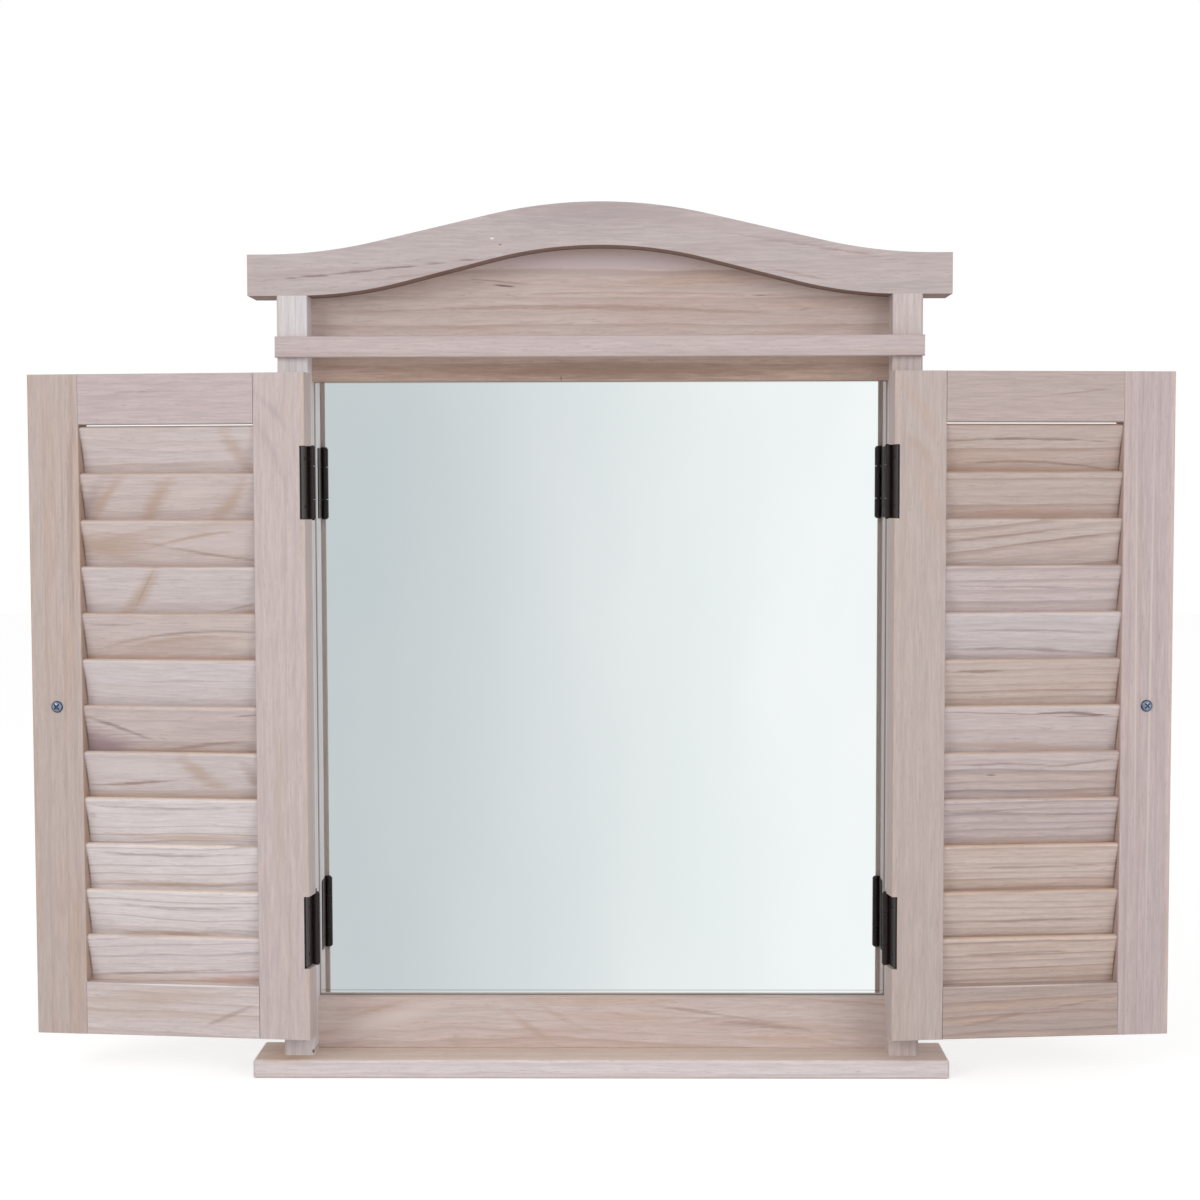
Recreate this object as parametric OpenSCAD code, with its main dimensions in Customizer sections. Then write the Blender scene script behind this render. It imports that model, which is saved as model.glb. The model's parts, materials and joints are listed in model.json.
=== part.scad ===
// Wall mirror behind a pair of louvred wooden shutters, shown with both shutters swung open.
// Units are millimetres. The front faces -Y, the wall is the plane y = 0 and +Z is up.
// The origin lies in the wall plane, midway between the two keyhole plates that the mirror hangs on.

/* [Frame] */
// Width over the ends of the cornice and the sill
frame_w = 420; // [400:1:440]
// Width over the outer faces of the two posts
posts_w = 385; // [378:1:392]
// Face width of a post
post_face = 18.1; // [17.6:0.1:19]
// Depth of the posts and the cornice, from the wall to their front faces
post_depth = 36.8; // [35.5:0.1:38]
// Height of the post tops, on which the cornice rests, above the underside of the sill
post_top_z = 470.2; // [468:0.1:474]
// How far the long edges are eased
ease_r = 0.8; // [0.4:0.1:1]

/* [Cornice] */
// Height of the cornice's top edge at its ends
cornice_end_z = 494.6; // [492:0.1:498]
// Height of the cornice's top edge at the crown
cornice_crown_z = 525.2; // [522:0.1:528]
// Height of the arch under the crown
arch_crown_z = 499.7; // [497:0.1:501]
// Radius of the crown and foot arcs along the top edge
cornice_arc_r = 290; // [280:1:300]
// Slope of the straight stretch between those arcs, in degrees
cornice_slope = 13; // [12.6:0.1:13.4]
// Radius of the crown and foot arcs along the arch
arch_arc_r = 260; // [250:1:265]
// Slope of the straight stretch between those arcs, in degrees
arch_slope = 14.2; // [14:0.1:14.8]

/* [Rails] */
// Thickness of the header panel and the bottom rail, from the wall
rail_t = 15.6; // [15:0.1:17]
// Height of the header panel's lower edge, above the mirror
header_z = 420.2; // [418:0.1:422]
// Height of the bottom rail's upper edge, below the mirror
bottom_rail_z = 42.9; // [41:0.1:44]
// Height of the cross strip's lower edge
strip_z = 433.4; // [432:0.1:435]
// Face height of the cross strip
strip_h = 12.4; // [11:0.1:13]
// Thickness of the cross strip, planted on the fronts of the posts
strip_t = 5.5; // [4:0.1:6]
// How far the cross strip passes the outer face of each post
strip_lap = 0.7; // [0:0.1:2]
// Depth of the sill, from the wall
sill_depth = 50; // [48:0.5:52]
// Thickness of the sill
sill_t = 11.4; // [11:0.1:12]

/* [Mirror] */
// Thickness of the silvered glass
glass_t = 3; // [2.5:0.1:3]
// Thickness of the backing board
backing_t = 3; // [2.5:0.1:3]
// Gap between the backing board and the wall
backing_gap = 1.8; // [1.6:0.1:2]
// How far the rebate reaches behind the frame's edges
rebate_lap = 6; // [5:0.1:6.5]
// Play between the glass and the rebate on its sides and top
glass_play = 0.4; // [0.2:0.1:0.6]

/* [Shutters] */
// Width of one shutter
shutter_w = 170.7; // [169:0.1:171]
// Height of one shutter
shutter_h = 398.9; // [397:0.1:400]
// Height of the shutters' lower edge above the underside of the sill
shutter_z = 25; // [24:0.1:27]
// Thickness of a shutter
shutter_t = 16; // [15.5:0.1:17]
// Face width of the hinge stile and the closing stile
stile_w = 31.5; // [30:0.1:33]
// Face height of a shutter's top rail
top_rail_h = 30; // [29:0.1:31]
// Face height of a shutter's bottom rail
low_rail_h = 31.9; // [31:0.1:32.5]
// How far the edge of a shutter stands past its hinge axis, towards the post when it is shut
edge_past = 0.8; // [0.4:0.1:1]
// Gap between a hinge axis and the inner face of its post
post_gap = 2; // [1.6:0.1:2.2]
// How far each shutter stands open past 180 degrees, where its knob meets the wall
open_past = 7.4; // [5:0.1:7.4]
// Length of a rail's stub tenon
tenon_l = 8; // [5:0.5:12]
// Thickness of a rail's stub tenon
tenon_t = 5; // [4:0.1:6]

/* [Louvres] */
// Vertical distance from one slat to the next
slat_pitch = 27.9; // [27.7:0.1:28]
// Width of a slat, across its grain
slat_w = 32; // [31:0.1:33]
// Thickness of a slat
slat_t = 4.2; // [3.8:0.1:4.6]
// Lean of a slat from the upright, in degrees
slat_tilt = 17; // [15:0.5:18]
// Gap above the first slat
slat_gap = 1; // [0.5:0.1:1.5]
// How far a slat's end sits in its groove
slat_housing = 4; // [3:0.1:5]
// Play around a slat in its groove
slat_play = 0.15; // [0.1:0.05:0.2]

/* [Hinges] */
// Height of a hinge
hinge_h = 43; // [40:0.5:45]
// Distance of a hinge's middle from the shutter's upper and lower edge
hinge_inset = 65; // [55:1:75]
// Radius of the hinge barrel, which stands in front of the posts
barrel_r = 2.5; // [2.4:0.1:2.5]
// Radius of the hinge pin
pin_r = 1.3; // [1.2:0.05:1.3]
// Play between the pin and a knuckle, on the radius
pin_play = 0.05; // [0.03:0.01:0.06]
// Length of the middle knuckle, on the shutter's leaf
mid_knuckle = 19.7; // [18:0.1:21]
// Gap between neighbouring knuckles
knuckle_gap = 0.25; // [0.2:0.05:0.4]
// Reach of a leaf from the hinge axis
leaf_w = 17.6; // [16:0.1:18]
// Thickness of a leaf
leaf_t = 1.1; // [1:0.05:1.1]
// Distance of a leaf's screws from the hinge axis
leaf_screw_b = 10; // [9:0.1:11]
// Distance of a leaf's screws from its middle
leaf_screw_z = 14.3; // [13:0.1:16]

/* [Knobs] */
// Reach of a knob from the shutter's outer face
knob_h = 21.8; // [18:0.1:21.8]
// Radius of a knob's ball
knob_r = 8.5; // [8:0.1:8.5]
// Radius of a knob's neck
neck_r = 4.5; // [4:0.1:5]
// Radius of the knob screw's head
knob_screw_head_r = 3.5; // [3:0.1:4]

/* [Hanging] */
// Height of the keyhole plates' round holes above the underside of the sill
hanger_z = 446; // [440:0.5:448]
// Radius of a keyhole plate's round hole, which passes the head of a wall screw
hanger_hole_r = 4.25; // [4:0.05:4.5]
// Width of a keyhole plate's slot
hanger_slot_w = 4; // [3.5:0.1:4.5]
// Rise of a keyhole plate's slot above its round hole
hanger_rise = 8; // [6:0.5:9]

/* [Hidden] */
$fn = 48;
tiny = 0.01;

post_out = posts_w / 2;
post_in = post_out - post_face;
post_mid = post_out - post_face / 2;
opening_w = 2 * post_in;
shadow_gap = 0.2;

glass_back = backing_gap + backing_t;
rebate_d = glass_back + glass_t;
rebate_low = bottom_rail_z - rebate_lap;
rebate_high = header_z + rebate_lap;
glass_w = opening_w + 2 * rebate_lap - 2 * glass_play;
glass_h = rebate_high - rebate_low - glass_play;

axis_x = post_in - post_gap;
axis_y = -post_depth - barrel_r;
shutter_top = shutter_z + shutter_h;
face_out = barrel_r;
face_in = barrel_r + shutter_t;
face_mid = (face_out + face_in) / 2;
louvre_top = shutter_top - top_rail_h;
louvre_low = shutter_z + low_rail_h;
louvre_u = stile_w - edge_past;
louvre_w = shutter_w - 2 * stile_w;
slat_r = 1.6;
slat_count = round((louvre_top - louvre_low) / slat_pitch);
slat_rise = (slat_w - 2 * slat_r) * cos(slat_tilt) + (slat_t - 2 * slat_r) * sin(slat_tilt) + 2 * slat_r;

hinge_zs = [shutter_z + hinge_inset, shutter_top - hinge_inset];
bore_r = pin_r + pin_play;
leaf_a = barrel_r - leaf_t;
leaf_b = sqrt(pow(barrel_r + 2 * knuckle_gap, 2) - pow(leaf_a, 2));
end_knuckle = (hinge_h - mid_knuckle) / 2 - knuckle_gap;
end_zones = [[0, end_knuckle], [hinge_h - end_knuckle, end_knuckle]];
mid_zone = [[end_knuckle + knuckle_gap, mid_knuckle]];
mortise_play = 0.3;

leaf_screw = [2.3, 1.2, 11];
sill_screw = [3.4, 1.7, 38];
cornice_screw = [3.2, 1.6, 44];
hanger_screw = [2.4, 1.3, 10];
frame_screw_ys = [-18.5, -30.5];
cornice_sink = 1.2;
dowel_r = 2.5;
dowel_l = 24;
dowel_y = -(rebate_d + rail_t) / 2;
header_dowel_zs = [header_z + 20, header_z + 38];
bottom_dowel_zs = [sill_t + 8, sill_t + 23];
brad_r = 0.6;
brad_l = 13;
brad_y = -backing_gap + brad_r;
side_brad_zs = [90, 165, 240, 315, 390];
end_brad_xs = [-120, 0, 120];
strip_brad_l = 18;
strip_brad_in = 5;
strip_brad_sink = 1.5;
plate_w = 13;
plate_h = 34;
plate_t = 1.2;
plate_low_z = hanger_z - 13.5;
plate_screw_in = 3.8;
cavity_r = hanger_hole_r + 1.2;
cavity_d = 8;

knob_u = shutter_w - edge_past - stile_w / 2;
knob_z = shutter_z + shutter_h / 2;
knob_screw_r = 2;
knob_screw_l = shutter_t + 9;
knob_screw_head_h = 1.9;
knob_flange_r = 6.2;
knob_flange_h = 1.2;
knob_neck_h = 3;
knob_dome_r = 1.45 * knob_screw_head_r;

SIDES = ["left", "right"];

pale_wood = [0.80, 0.73, 0.69];
warm_wood = [0.76, 0.67, 0.60];
slat_wood = [0.82, 0.75, 0.72];
black_iron = [0.16, 0.14, 0.14];
zinc = [0.62, 0.66, 0.72];
board_brown = [0.55, 0.42, 0.30];
silvered = [0.80, 0.86, 0.88];

function slat_name(side, i) = str(side, "_slat_", i < 10 ? "0" : "", i);

// ---- places ----

// Heights are counted from the underside of the sill and moved down to the hanging line
module hung() {
    translate([0, 0, -hanger_z]) children();
}

// Draws for the left side, mirrored for the right
module on_side(side) {
    if (side == "left") children();
    else mirror([1, 0, 0]) children();
}

module both_sides() {
    for (side = SIDES) on_side(side) children();
}

// An open shutter's own axes: x runs from the hinge axis to the closing edge,
// y from the face that is outside when the shutter is shut to the inner face
module in_shutter(side) {
    hung() on_side(side)
        translate([-axis_x, axis_y, 0]) rotate([0, 0, 180 - open_past]) children();
}

// A post's own hinge axes: x runs into the post, y towards the wall
module in_post_hinge() {
    translate([-axis_x, axis_y, 0]) mirror([1, 0, 0]) children();
}

// ---- shared shapes ----

// Rectangle with eased corners, centred
module eased(w, d, r = ease_r) {
    square([w - 2 * r, d], center = true);
    square([w, d - 2 * r], center = true);
    for (x = [-1, 1], y = [-1, 1])
        translate([x * (w / 2 - r), y * (d / 2 - r)]) circle(r = r);
}

// Upright bar of eased section from corner [x, y, z] to [x + w, y + d, z + h]
module upright(corner, size) {
    translate([corner[0] + size[0] / 2, corner[1] + size[1] / 2, corner[2]])
        linear_extrude(size[2]) eased(size[0], size[1]);
}

// Level bar along x, with its section eased in the y-z plane
module level(corner, size, r = ease_r) {
    translate([corner[0], corner[1] + size[1] / 2, corner[2] + size[2] / 2])
        rotate([90, 0, 90]) linear_extrude(size[0]) eased(size[1], size[2], r);
}

// Points along an arc, a step of about one degree apart
function arc(centre, r, from, to) = let (steps = ceil(abs(to - from)))
    [for (i = [0:steps]) let (a = from + (to - from) * i / steps) centre + r * [cos(a), sin(a)]];

// Area below an edge that falls from a crown in the middle, by an arc, a straight slope and a
// foot arc, to a level end on each side
module under_wave(crown_z, end_z, arc_r, slope, half_w, floor_z) {
    run = arc_r * sin(slope);
    drop = arc_r * (1 - cos(slope));
    foot_x = 2 * run + (crown_z - end_z - 2 * drop) / tan(slope);
    foot_z = end_z + arc_r;
    polygon(concat(
        [[half_w, floor_z], [-half_w, floor_z], [-half_w, end_z]],
        arc([-foot_x, foot_z], arc_r, -90, -90 + slope),
        arc([0, crown_z - arc_r], arc_r, 90 + slope, 90 - slope),
        arc([foot_x, foot_z], arc_r, -90 - slope, -90),
        [[half_w, end_z]]
    ));
}

// Extrudes a front outline drawn in x and z from the wall to the given depth
module from_wall(depth) {
    rotate([90, 0, 0]) linear_extrude(depth) children();
}

module arch_area(gap = 0) {
    intersection() {
        under_wave(arch_crown_z - gap, post_top_z - gap, arch_arc_r, arch_slope, frame_w, sill_t);
        translate([-post_in, 0]) square([opening_w, cornice_crown_z]);
    }
}

// Countersunk wood screw, head up at z = 0, running down to its point; spec is [head_r, shank_r, length]
module screw_body(spec) {
    head_h = spec[0] - spec[1];
    tip = 2 * spec[1];
    translate([0, 0, -head_h]) cylinder(r1 = spec[1], r2 = spec[0], h = head_h);
    translate([0, 0, -spec[2] + tip]) cylinder(r = spec[1], h = spec[2] - tip - head_h + tiny);
    translate([0, 0, -spec[2]]) cylinder(r1 = 0.2, r2 = spec[1], h = tip + tiny);
}

// Cross recess in a screw head whose top lies at z = 0
module cross_recess(head_r) {
    slot = [1.25 * head_r, 0.3 * head_r, 0.6 * head_r];
    for (turn = [45, 135]) rotate([0, 0, turn]) cube(slot, center = true);
}

module wood_screw(spec) {
    difference() {
        screw_body(spec);
        cross_recess(spec[0]);
    }
}

module brad(length) {
    cylinder(r = brad_r, h = length);
}

// ---- fixings, drawn for the left side where they come in pairs ----

module leaf_screw_places() {
    for (z = hinge_zs, dz = [-leaf_screw_z, leaf_screw_z])
        translate([leaf_a, leaf_screw_b, z + dz]) rotate([0, -90, 0]) children();
}

module sill_screw_places() {
    for (y = frame_screw_ys) translate([-post_mid, y, 0]) mirror([0, 0, 1]) children();
}

module cornice_screw_places() {
    for (y = frame_screw_ys) translate([-post_mid, y, cornice_end_z - cornice_sink]) children();
}

module plate_screw_places() {
    for (z = [plate_low_z + plate_screw_in, plate_low_z + plate_h - plate_screw_in])
        translate([-post_mid, 0, z]) rotate([-90, 0, 0]) children();
}

module dowel_places() {
    for (z = concat(header_dowel_zs, bottom_dowel_zs))
        translate([-post_in - dowel_l / 2, dowel_y, z]) rotate([0, 90, 0]) children();
}

module side_brad_places() {
    for (z = side_brad_zs)
        translate([-post_in - rebate_lap - brad_l / 2, brad_y, z]) rotate([0, 90, 0]) children();
}

module end_brad_places() {
    for (x = end_brad_xs) {
        translate([x, brad_y, rebate_high - brad_l / 2]) children();
        translate([x, brad_y, rebate_low - brad_l / 2]) children();
    }
}

// Brads punched below the strip's face, their holes filled over
module strip_brad_places() {
    translate([-post_out + strip_brad_in, strip_brad_sink - post_depth - strip_t, strip_z + strip_h / 2])
        rotate([-90, 0, 0]) children();
}

// Two flat leaves cut from one shape: the plate lies in its mortise, and knuckles wrap the pin
module hinge_leaf(zones) {
    difference() {
        union() {
            translate([leaf_a, leaf_b, 0]) cube([leaf_t, leaf_w - leaf_b, hinge_h]);
            for (zone = zones) translate([0, 0, zone[0]]) {
                translate([leaf_a, 0, 0]) cube([leaf_t, leaf_b + tiny, zone[1]]);
                cylinder(r = barrel_r, h = zone[1]);
            }
        }
        translate([0, 0, -1]) cylinder(r = bore_r, h = hinge_h + 2);
    }
}

module hinge_leaves(zones) {
    difference() {
        for (z = hinge_zs) translate([0, 0, z - hinge_h / 2]) hinge_leaf(zones);
        leaf_screw_places() screw_body(leaf_screw);
    }
}

// Mortises for the leaves; reach is how far they run from the hinge axis along the leaf, and past
// is how far the wood stands past that axis
module leaf_mortises(reach, past = 0) {
    for (z = hinge_zs)
        translate([-2 * past, -1, z - hinge_h / 2 - mortise_play])
            cube([barrel_r + 2 * past, reach + 1, hinge_h + 2 * mortise_play]);
}

// Outline of a keyhole plate's hole and slot, seen from the back; grow widens it for the cavity
module keyhole(grow = 0) {
    circle(r = hanger_hole_r + grow);
    translate([-hanger_slot_w / 2 - grow, 0]) square([hanger_slot_w + 2 * grow, hanger_rise]);
    translate([0, hanger_rise]) circle(r = hanger_slot_w / 2 + grow);
}

module plate_outline() {
    translate([0, plate_low_z + plate_h / 2]) eased(plate_w, plate_h, 3);
}

// ---- frame ----

module post_body() {
    difference() {
        upright([-post_out, -post_depth, sill_t], [post_face, post_depth, post_top_z - sill_t]);
        translate([-post_in - rebate_lap, -rebate_d, rebate_low])
            cube([rebate_lap + 1, rebate_d + 1, rebate_high - rebate_low]);
        in_post_hinge() {
            leaf_mortises(leaf_w + mortise_play);
            leaf_screw_places() screw_body(leaf_screw);
        }
        sill_screw_places() screw_body(sill_screw);
        cornice_screw_places() screw_body(cornice_screw);
        plate_screw_places() screw_body(hanger_screw);
        dowel_places() cylinder(r = dowel_r, h = dowel_l);
        side_brad_places() brad(brad_l);
        strip_brad_places() brad(strip_brad_l);
        translate([-post_mid, 0, 0]) {
            from_wall(plate_t) plate_outline();
            from_wall(cavity_d) translate([0, hanger_z]) keyhole(cavity_r - hanger_hole_r);
        }
    }
}

module left_post() {
    color(pale_wood) hung() post_body();
}

module right_post() {
    color(pale_wood) hung() on_side("right") post_body();
}

module cornice() {
    color(pale_wood) hung() difference() {
        from_wall(post_depth) difference() {
            under_wave(cornice_crown_z, cornice_end_z, cornice_arc_r, cornice_slope, frame_w / 2, post_top_z);
            arch_area();
        }
        both_sides() cornice_screw_places() {
            screw_body(cornice_screw);
            cylinder(r = cornice_screw[0], h = 2 * cornice_sink);
        }
    }
}

module header_panel() {
    color(warm_wood) hung() difference() {
        from_wall(rail_t) intersection() {
            arch_area(shadow_gap);
            translate([-post_in, header_z]) square([opening_w, cornice_crown_z]);
        }
        translate([-post_in, -rebate_d, header_z - 1]) cube([opening_w, rebate_d + 1, rebate_lap + 1]);
        both_sides() dowel_places() cylinder(r = dowel_r, h = dowel_l);
        end_brad_places() brad(brad_l);
    }
}

module cross_strip() {
    strip_w = posts_w + 2 * strip_lap;
    color(pale_wood) hung() difference() {
        level([-strip_w / 2, -post_depth - strip_t, strip_z], [strip_w, strip_t, strip_h]);
        both_sides() strip_brad_places() brad(strip_brad_l);
    }
}

module bottom_rail() {
    color(warm_wood) hung() difference() {
        level([-post_in, -rail_t, sill_t], [opening_w, rail_t, bottom_rail_z - sill_t], ease_r / 2);
        translate([-post_in, -rebate_d, rebate_low]) cube([opening_w, rebate_d + 1, rebate_lap + 1]);
        both_sides() dowel_places() cylinder(r = dowel_r, h = dowel_l);
        end_brad_places() brad(brad_l);
    }
}

// The sill's front edges and ends are rounded over
module sill() {
    plan_r = 2.5;
    edge_r = 1.8;
    color(pale_wood) hung() difference() {
        intersection() {
            level([-frame_w / 2, -sill_depth, 0], [frame_w, sill_depth + edge_r, sill_t], edge_r);
            translate([0, (plan_r - sill_depth) / 2, 0])
                linear_extrude(sill_t) eased(frame_w, sill_depth + plan_r, plan_r);
            translate([0, 0, sill_t / 2]) from_wall(sill_depth) eased(frame_w, sill_t, edge_r);
        }
        both_sides() sill_screw_places() screw_body(sill_screw);
    }
}

module mirror_pane(y_back, thickness) {
    translate([-glass_w / 2, -y_back - thickness, rebate_low]) cube([glass_w, thickness, glass_h]);
}

module mirror_glass() {
    color(silvered) hung() mirror_pane(glass_back, glass_t);
}

module backing_board() {
    color(board_brown) hung() mirror_pane(backing_gap, backing_t);
}

// Headless pins driven into the rebate's sides, which keep the backing board in
module backing_brads() {
    color(zinc) hung() {
        both_sides() side_brad_places() brad(brad_l);
        end_brad_places() brad(brad_l);
    }
}

module hanger_plates() {
    color(zinc) hung() both_sides() difference() {
        translate([-post_mid, 0, 0]) from_wall(plate_t) difference() {
            plate_outline();
            translate([0, hanger_z]) keyhole();
        }
        plate_screw_places() screw_body(hanger_screw);
    }
}

module hanger_screws() {
    color(zinc) hung() both_sides() plate_screw_places() wood_screw(hanger_screw);
}

module sill_screws() {
    color(zinc) hung() both_sides() sill_screw_places() wood_screw(sill_screw);
}

module cornice_screws() {
    color(zinc) hung() both_sides() cornice_screw_places() wood_screw(cornice_screw);
}

module strip_brads() {
    color(zinc) hung() both_sides() strip_brad_places() brad(strip_brad_l);
}

module rail_dowels() {
    color(warm_wood) hung() both_sides() dowel_places() cylinder(r = dowel_r, h = dowel_l);
}

module post_leaves(side) {
    color(black_iron) hung() on_side(side) in_post_hinge() hinge_leaves(end_zones);
}

// Pins with a low rivet head against each end knuckle
module hinge_pins() {
    head_h = 0.8;
    head_r = 0.75 * barrel_r;
    color(black_iron) hung() both_sides() in_post_hinge()
        for (z = hinge_zs) translate([0, 0, z - hinge_h / 2]) {
            translate([0, 0, -head_h]) cylinder(r = pin_r, h = hinge_h + 2 * head_h);
            translate([0, 0, -head_h]) cylinder(r = head_r, h = head_h);
            translate([0, 0, hinge_h]) cylinder(r = head_r, h = head_h);
        }
}

module post_leaf_screws() {
    color(black_iron) hung() both_sides() in_post_hinge() leaf_screw_places() wood_screw(leaf_screw);
}

// ---- shutters ----

// Lean of the slats: the edge on the inner face is the upper one
module slat_bar(i, length, play = 0) {
    top_z = louvre_top - slat_gap - (i - 1) * slat_pitch;
    translate([0, face_mid, top_z - slat_rise / 2])
        rotate([90, 0, 90]) linear_extrude(length)
            rotate(-slat_tilt) eased(slat_t + 2 * play, slat_w + 2 * play, slat_r + play);
}

module slat(side, i) {
    color(slat_wood) in_shutter(side)
        translate([louvre_u - slat_housing, 0, 0]) slat_bar(i, louvre_w + 2 * slat_housing);
}

module slat_grooves(u) {
    for (i = [1:slat_count])
        translate([u, 0, 0]) slat_bar(i, slat_housing + slat_play + 1, slat_play);
}

module tenon_bars(play = 0) {
    for (span = [[shutter_z, low_rail_h], [louvre_top, top_rail_h]])
        translate([louvre_u - tenon_l - play, face_mid - tenon_t / 2, span[0] + span[1] / 4])
            cube([louvre_w + 2 * tenon_l + 2 * play, tenon_t, span[1] / 2]);
}

module stile_body(u) {
    upright([u, face_out, shutter_z], [stile_w, shutter_t, shutter_h]);
}

module hinge_stile(side) {
    color(pale_wood) in_shutter(side) difference() {
        stile_body(-edge_past);
        slat_grooves(louvre_u - slat_housing - slat_play);
        tenon_bars(slat_play);
        leaf_mortises(face_in + 1, edge_past);
        leaf_screw_places() screw_body(leaf_screw);
    }
}

module closing_stile(side) {
    color(pale_wood) in_shutter(side) difference() {
        stile_body(louvre_u + louvre_w);
        slat_grooves(louvre_u + louvre_w - 1);
        tenon_bars(slat_play);
        knob_place() knob_screw_body();
    }
}

module shutter_rail(side, z, h) {
    color(pale_wood) in_shutter(side) difference() {
        union() {
            level([louvre_u, face_out, z], [louvre_w, shutter_t, h]);
            intersection() {
                tenon_bars();
                translate([0, 0, z]) cube([2 * shutter_w, face_in, h]);
            }
        }
        translate([louvre_u - tenon_l, 0, 0]) slat_bar(slat_count, louvre_w + 2 * tenon_l, slat_play);
    }
}

// The knob stands on the outer face; its screw comes through from the inner face
module knob_place() {
    translate([knob_u, face_out, knob_z]) rotate([90, 0, 0]) children();
}

// Screw along the knob's axis, from its head on the inner face to its tip inside the knob
module knob_screw_body() {
    translate([0, 0, knob_screw_l - shutter_t]) mirror([0, 0, 1]) cylinder(r = knob_screw_r, h = knob_screw_l);
}

// Turned knob: a flange against the stile, a short neck and a ball cut off where it meets the neck
module knob(side) {
    ball_z = knob_h - knob_r;
    color(warm_wood) in_shutter(side) knob_place() difference() {
        union() {
            cylinder(r = knob_flange_r, h = knob_flange_h);
            cylinder(r = neck_r, h = ball_z);
            intersection() {
                translate([0, 0, ball_z]) sphere(r = knob_r);
                translate([0, 0, knob_neck_h]) cylinder(r = 2 * knob_r, h = knob_h);
            }
        }
        knob_screw_body();
    }
}

// Pan head with a cross recess, its rim rounded
module knob_screw(side) {
    color(zinc) in_shutter(side) knob_place() difference() {
        union() {
            knob_screw_body();
            translate([0, 0, -shutter_t - knob_screw_head_h]) intersection() {
                cylinder(r = knob_screw_head_r, h = knob_screw_head_h);
                translate([0, 0, knob_dome_r]) sphere(r = knob_dome_r);
            }
        }
        translate([0, 0, -shutter_t - knob_screw_head_h]) cross_recess(knob_screw_head_r);
    }
}

module shutter_leaves(side) {
    color(black_iron) in_shutter(side) hinge_leaves(mid_zone);
}

module leaf_screws(side) {
    color(black_iron) in_shutter(side) leaf_screw_places() wood_screw(leaf_screw);
}

// ---- drawing ----

left_post();
right_post();
cornice();
header_panel();
cross_strip();
bottom_rail();
sill();
mirror_glass();
backing_board();
backing_brads();
hanger_plates();
hanger_screws();
sill_screws();
cornice_screws();
strip_brads();
rail_dowels();
post_leaves("left");  // left_post_leaves
post_leaves("right");  // right_post_leaves
hinge_pins();
post_leaf_screws();
for (side = SIDES) {
    hinge_stile(side);
    closing_stile(side);
    shutter_rail(side, louvre_top, top_rail_h);
    shutter_rail(side, shutter_z, low_rail_h);
    for (i = [1:slat_count]) slat(side, i);
    knob(side);
    knob_screw(side);
    shutter_leaves(side);
    leaf_screws(side);
}
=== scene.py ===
# %% [markdown]
# # A shutter mirror in bare, pale wood
#
# The real object is a small window frame for a wall: a mirror under an arched cornice, with two louvred
# shutters that fold right back. Every board is planed and unfinished, in a light, grey-pink wood with
# soft tan bands. The hinges are dark bronzed steel and the knobs' screws are zinc plated.
#
# The construction comes ready made, each board and screw as a mesh of its own, so this script never
# shapes wood. It gives each board its grain, sets the camera and builds a plain white studio.

# %% Load the frame
import json
import math

import bpy
from mathutils import Matrix, Vector


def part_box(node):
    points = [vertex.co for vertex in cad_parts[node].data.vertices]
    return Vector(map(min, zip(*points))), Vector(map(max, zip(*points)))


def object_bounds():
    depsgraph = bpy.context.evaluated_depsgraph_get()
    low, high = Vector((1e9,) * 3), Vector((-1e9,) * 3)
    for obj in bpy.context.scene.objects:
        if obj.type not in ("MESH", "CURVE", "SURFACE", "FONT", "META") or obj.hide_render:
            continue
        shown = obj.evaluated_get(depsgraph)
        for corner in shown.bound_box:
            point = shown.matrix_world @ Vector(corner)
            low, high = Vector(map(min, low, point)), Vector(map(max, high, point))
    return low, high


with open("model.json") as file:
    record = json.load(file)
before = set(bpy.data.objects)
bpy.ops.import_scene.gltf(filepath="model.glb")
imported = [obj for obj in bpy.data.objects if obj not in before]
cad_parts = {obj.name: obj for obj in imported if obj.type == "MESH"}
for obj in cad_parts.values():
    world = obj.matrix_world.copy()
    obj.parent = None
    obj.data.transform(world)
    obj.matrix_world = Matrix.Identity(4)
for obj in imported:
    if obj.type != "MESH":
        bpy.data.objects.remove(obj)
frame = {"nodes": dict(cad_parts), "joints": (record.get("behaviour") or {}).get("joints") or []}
cad_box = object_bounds()
nodes = frame["nodes"]
print("pieces loaded:", len(nodes))
print("size in metres:", [round(high - low, 4) for low, high in zip(*cad_box)])

# %% [markdown]
# ## Colours as the eye names them
#
# A colour on a paint card is a screen colour, from 0 to 255, but light adds up in another scale, the
# linear one, and that is what a shader wants. A helper turns one into the other, so that every tone
# below can be read as a screen colour.

# %% Colours
def linear(channel):
    share = channel / 255
    if share <= 0.04045:
        return share / 12.92
    return ((share + 0.055) / 1.055) ** 2.4


def tone(red, green, blue):
    return (linear(red), linear(green), linear(blue), 1.0)


MM = 0.001

ASH = tone(212, 199, 196)
ROSE = tone(206, 186, 181)
CREAM = tone(216, 201, 190)
TAN = tone(196, 168, 150)
HONEY = tone(203, 174, 150)
MAUVE = tone(186, 170, 168)
BROWN = tone(156, 130, 118)
UMBER = tone(118, 96, 90)
DUN = tone(186, 160, 143)
SMOKE = tone(160, 145, 146)
print("mid ash in linear light:", [round(part, 3) for part in ASH[:3]])

# %% [markdown]
# ## Sums on sockets
#
# Grain is a formula: the distance of a point from the heart of the tree, divided by the width of a
# year's growth. In the node editor each step of it is a Math node. They could be placed one by one, but
# the formula then drowns in wiring. Here a signal is a socket that knows plus, minus, times and divide,
# so the formula is written as a formula and the Math nodes follow from it.

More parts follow.
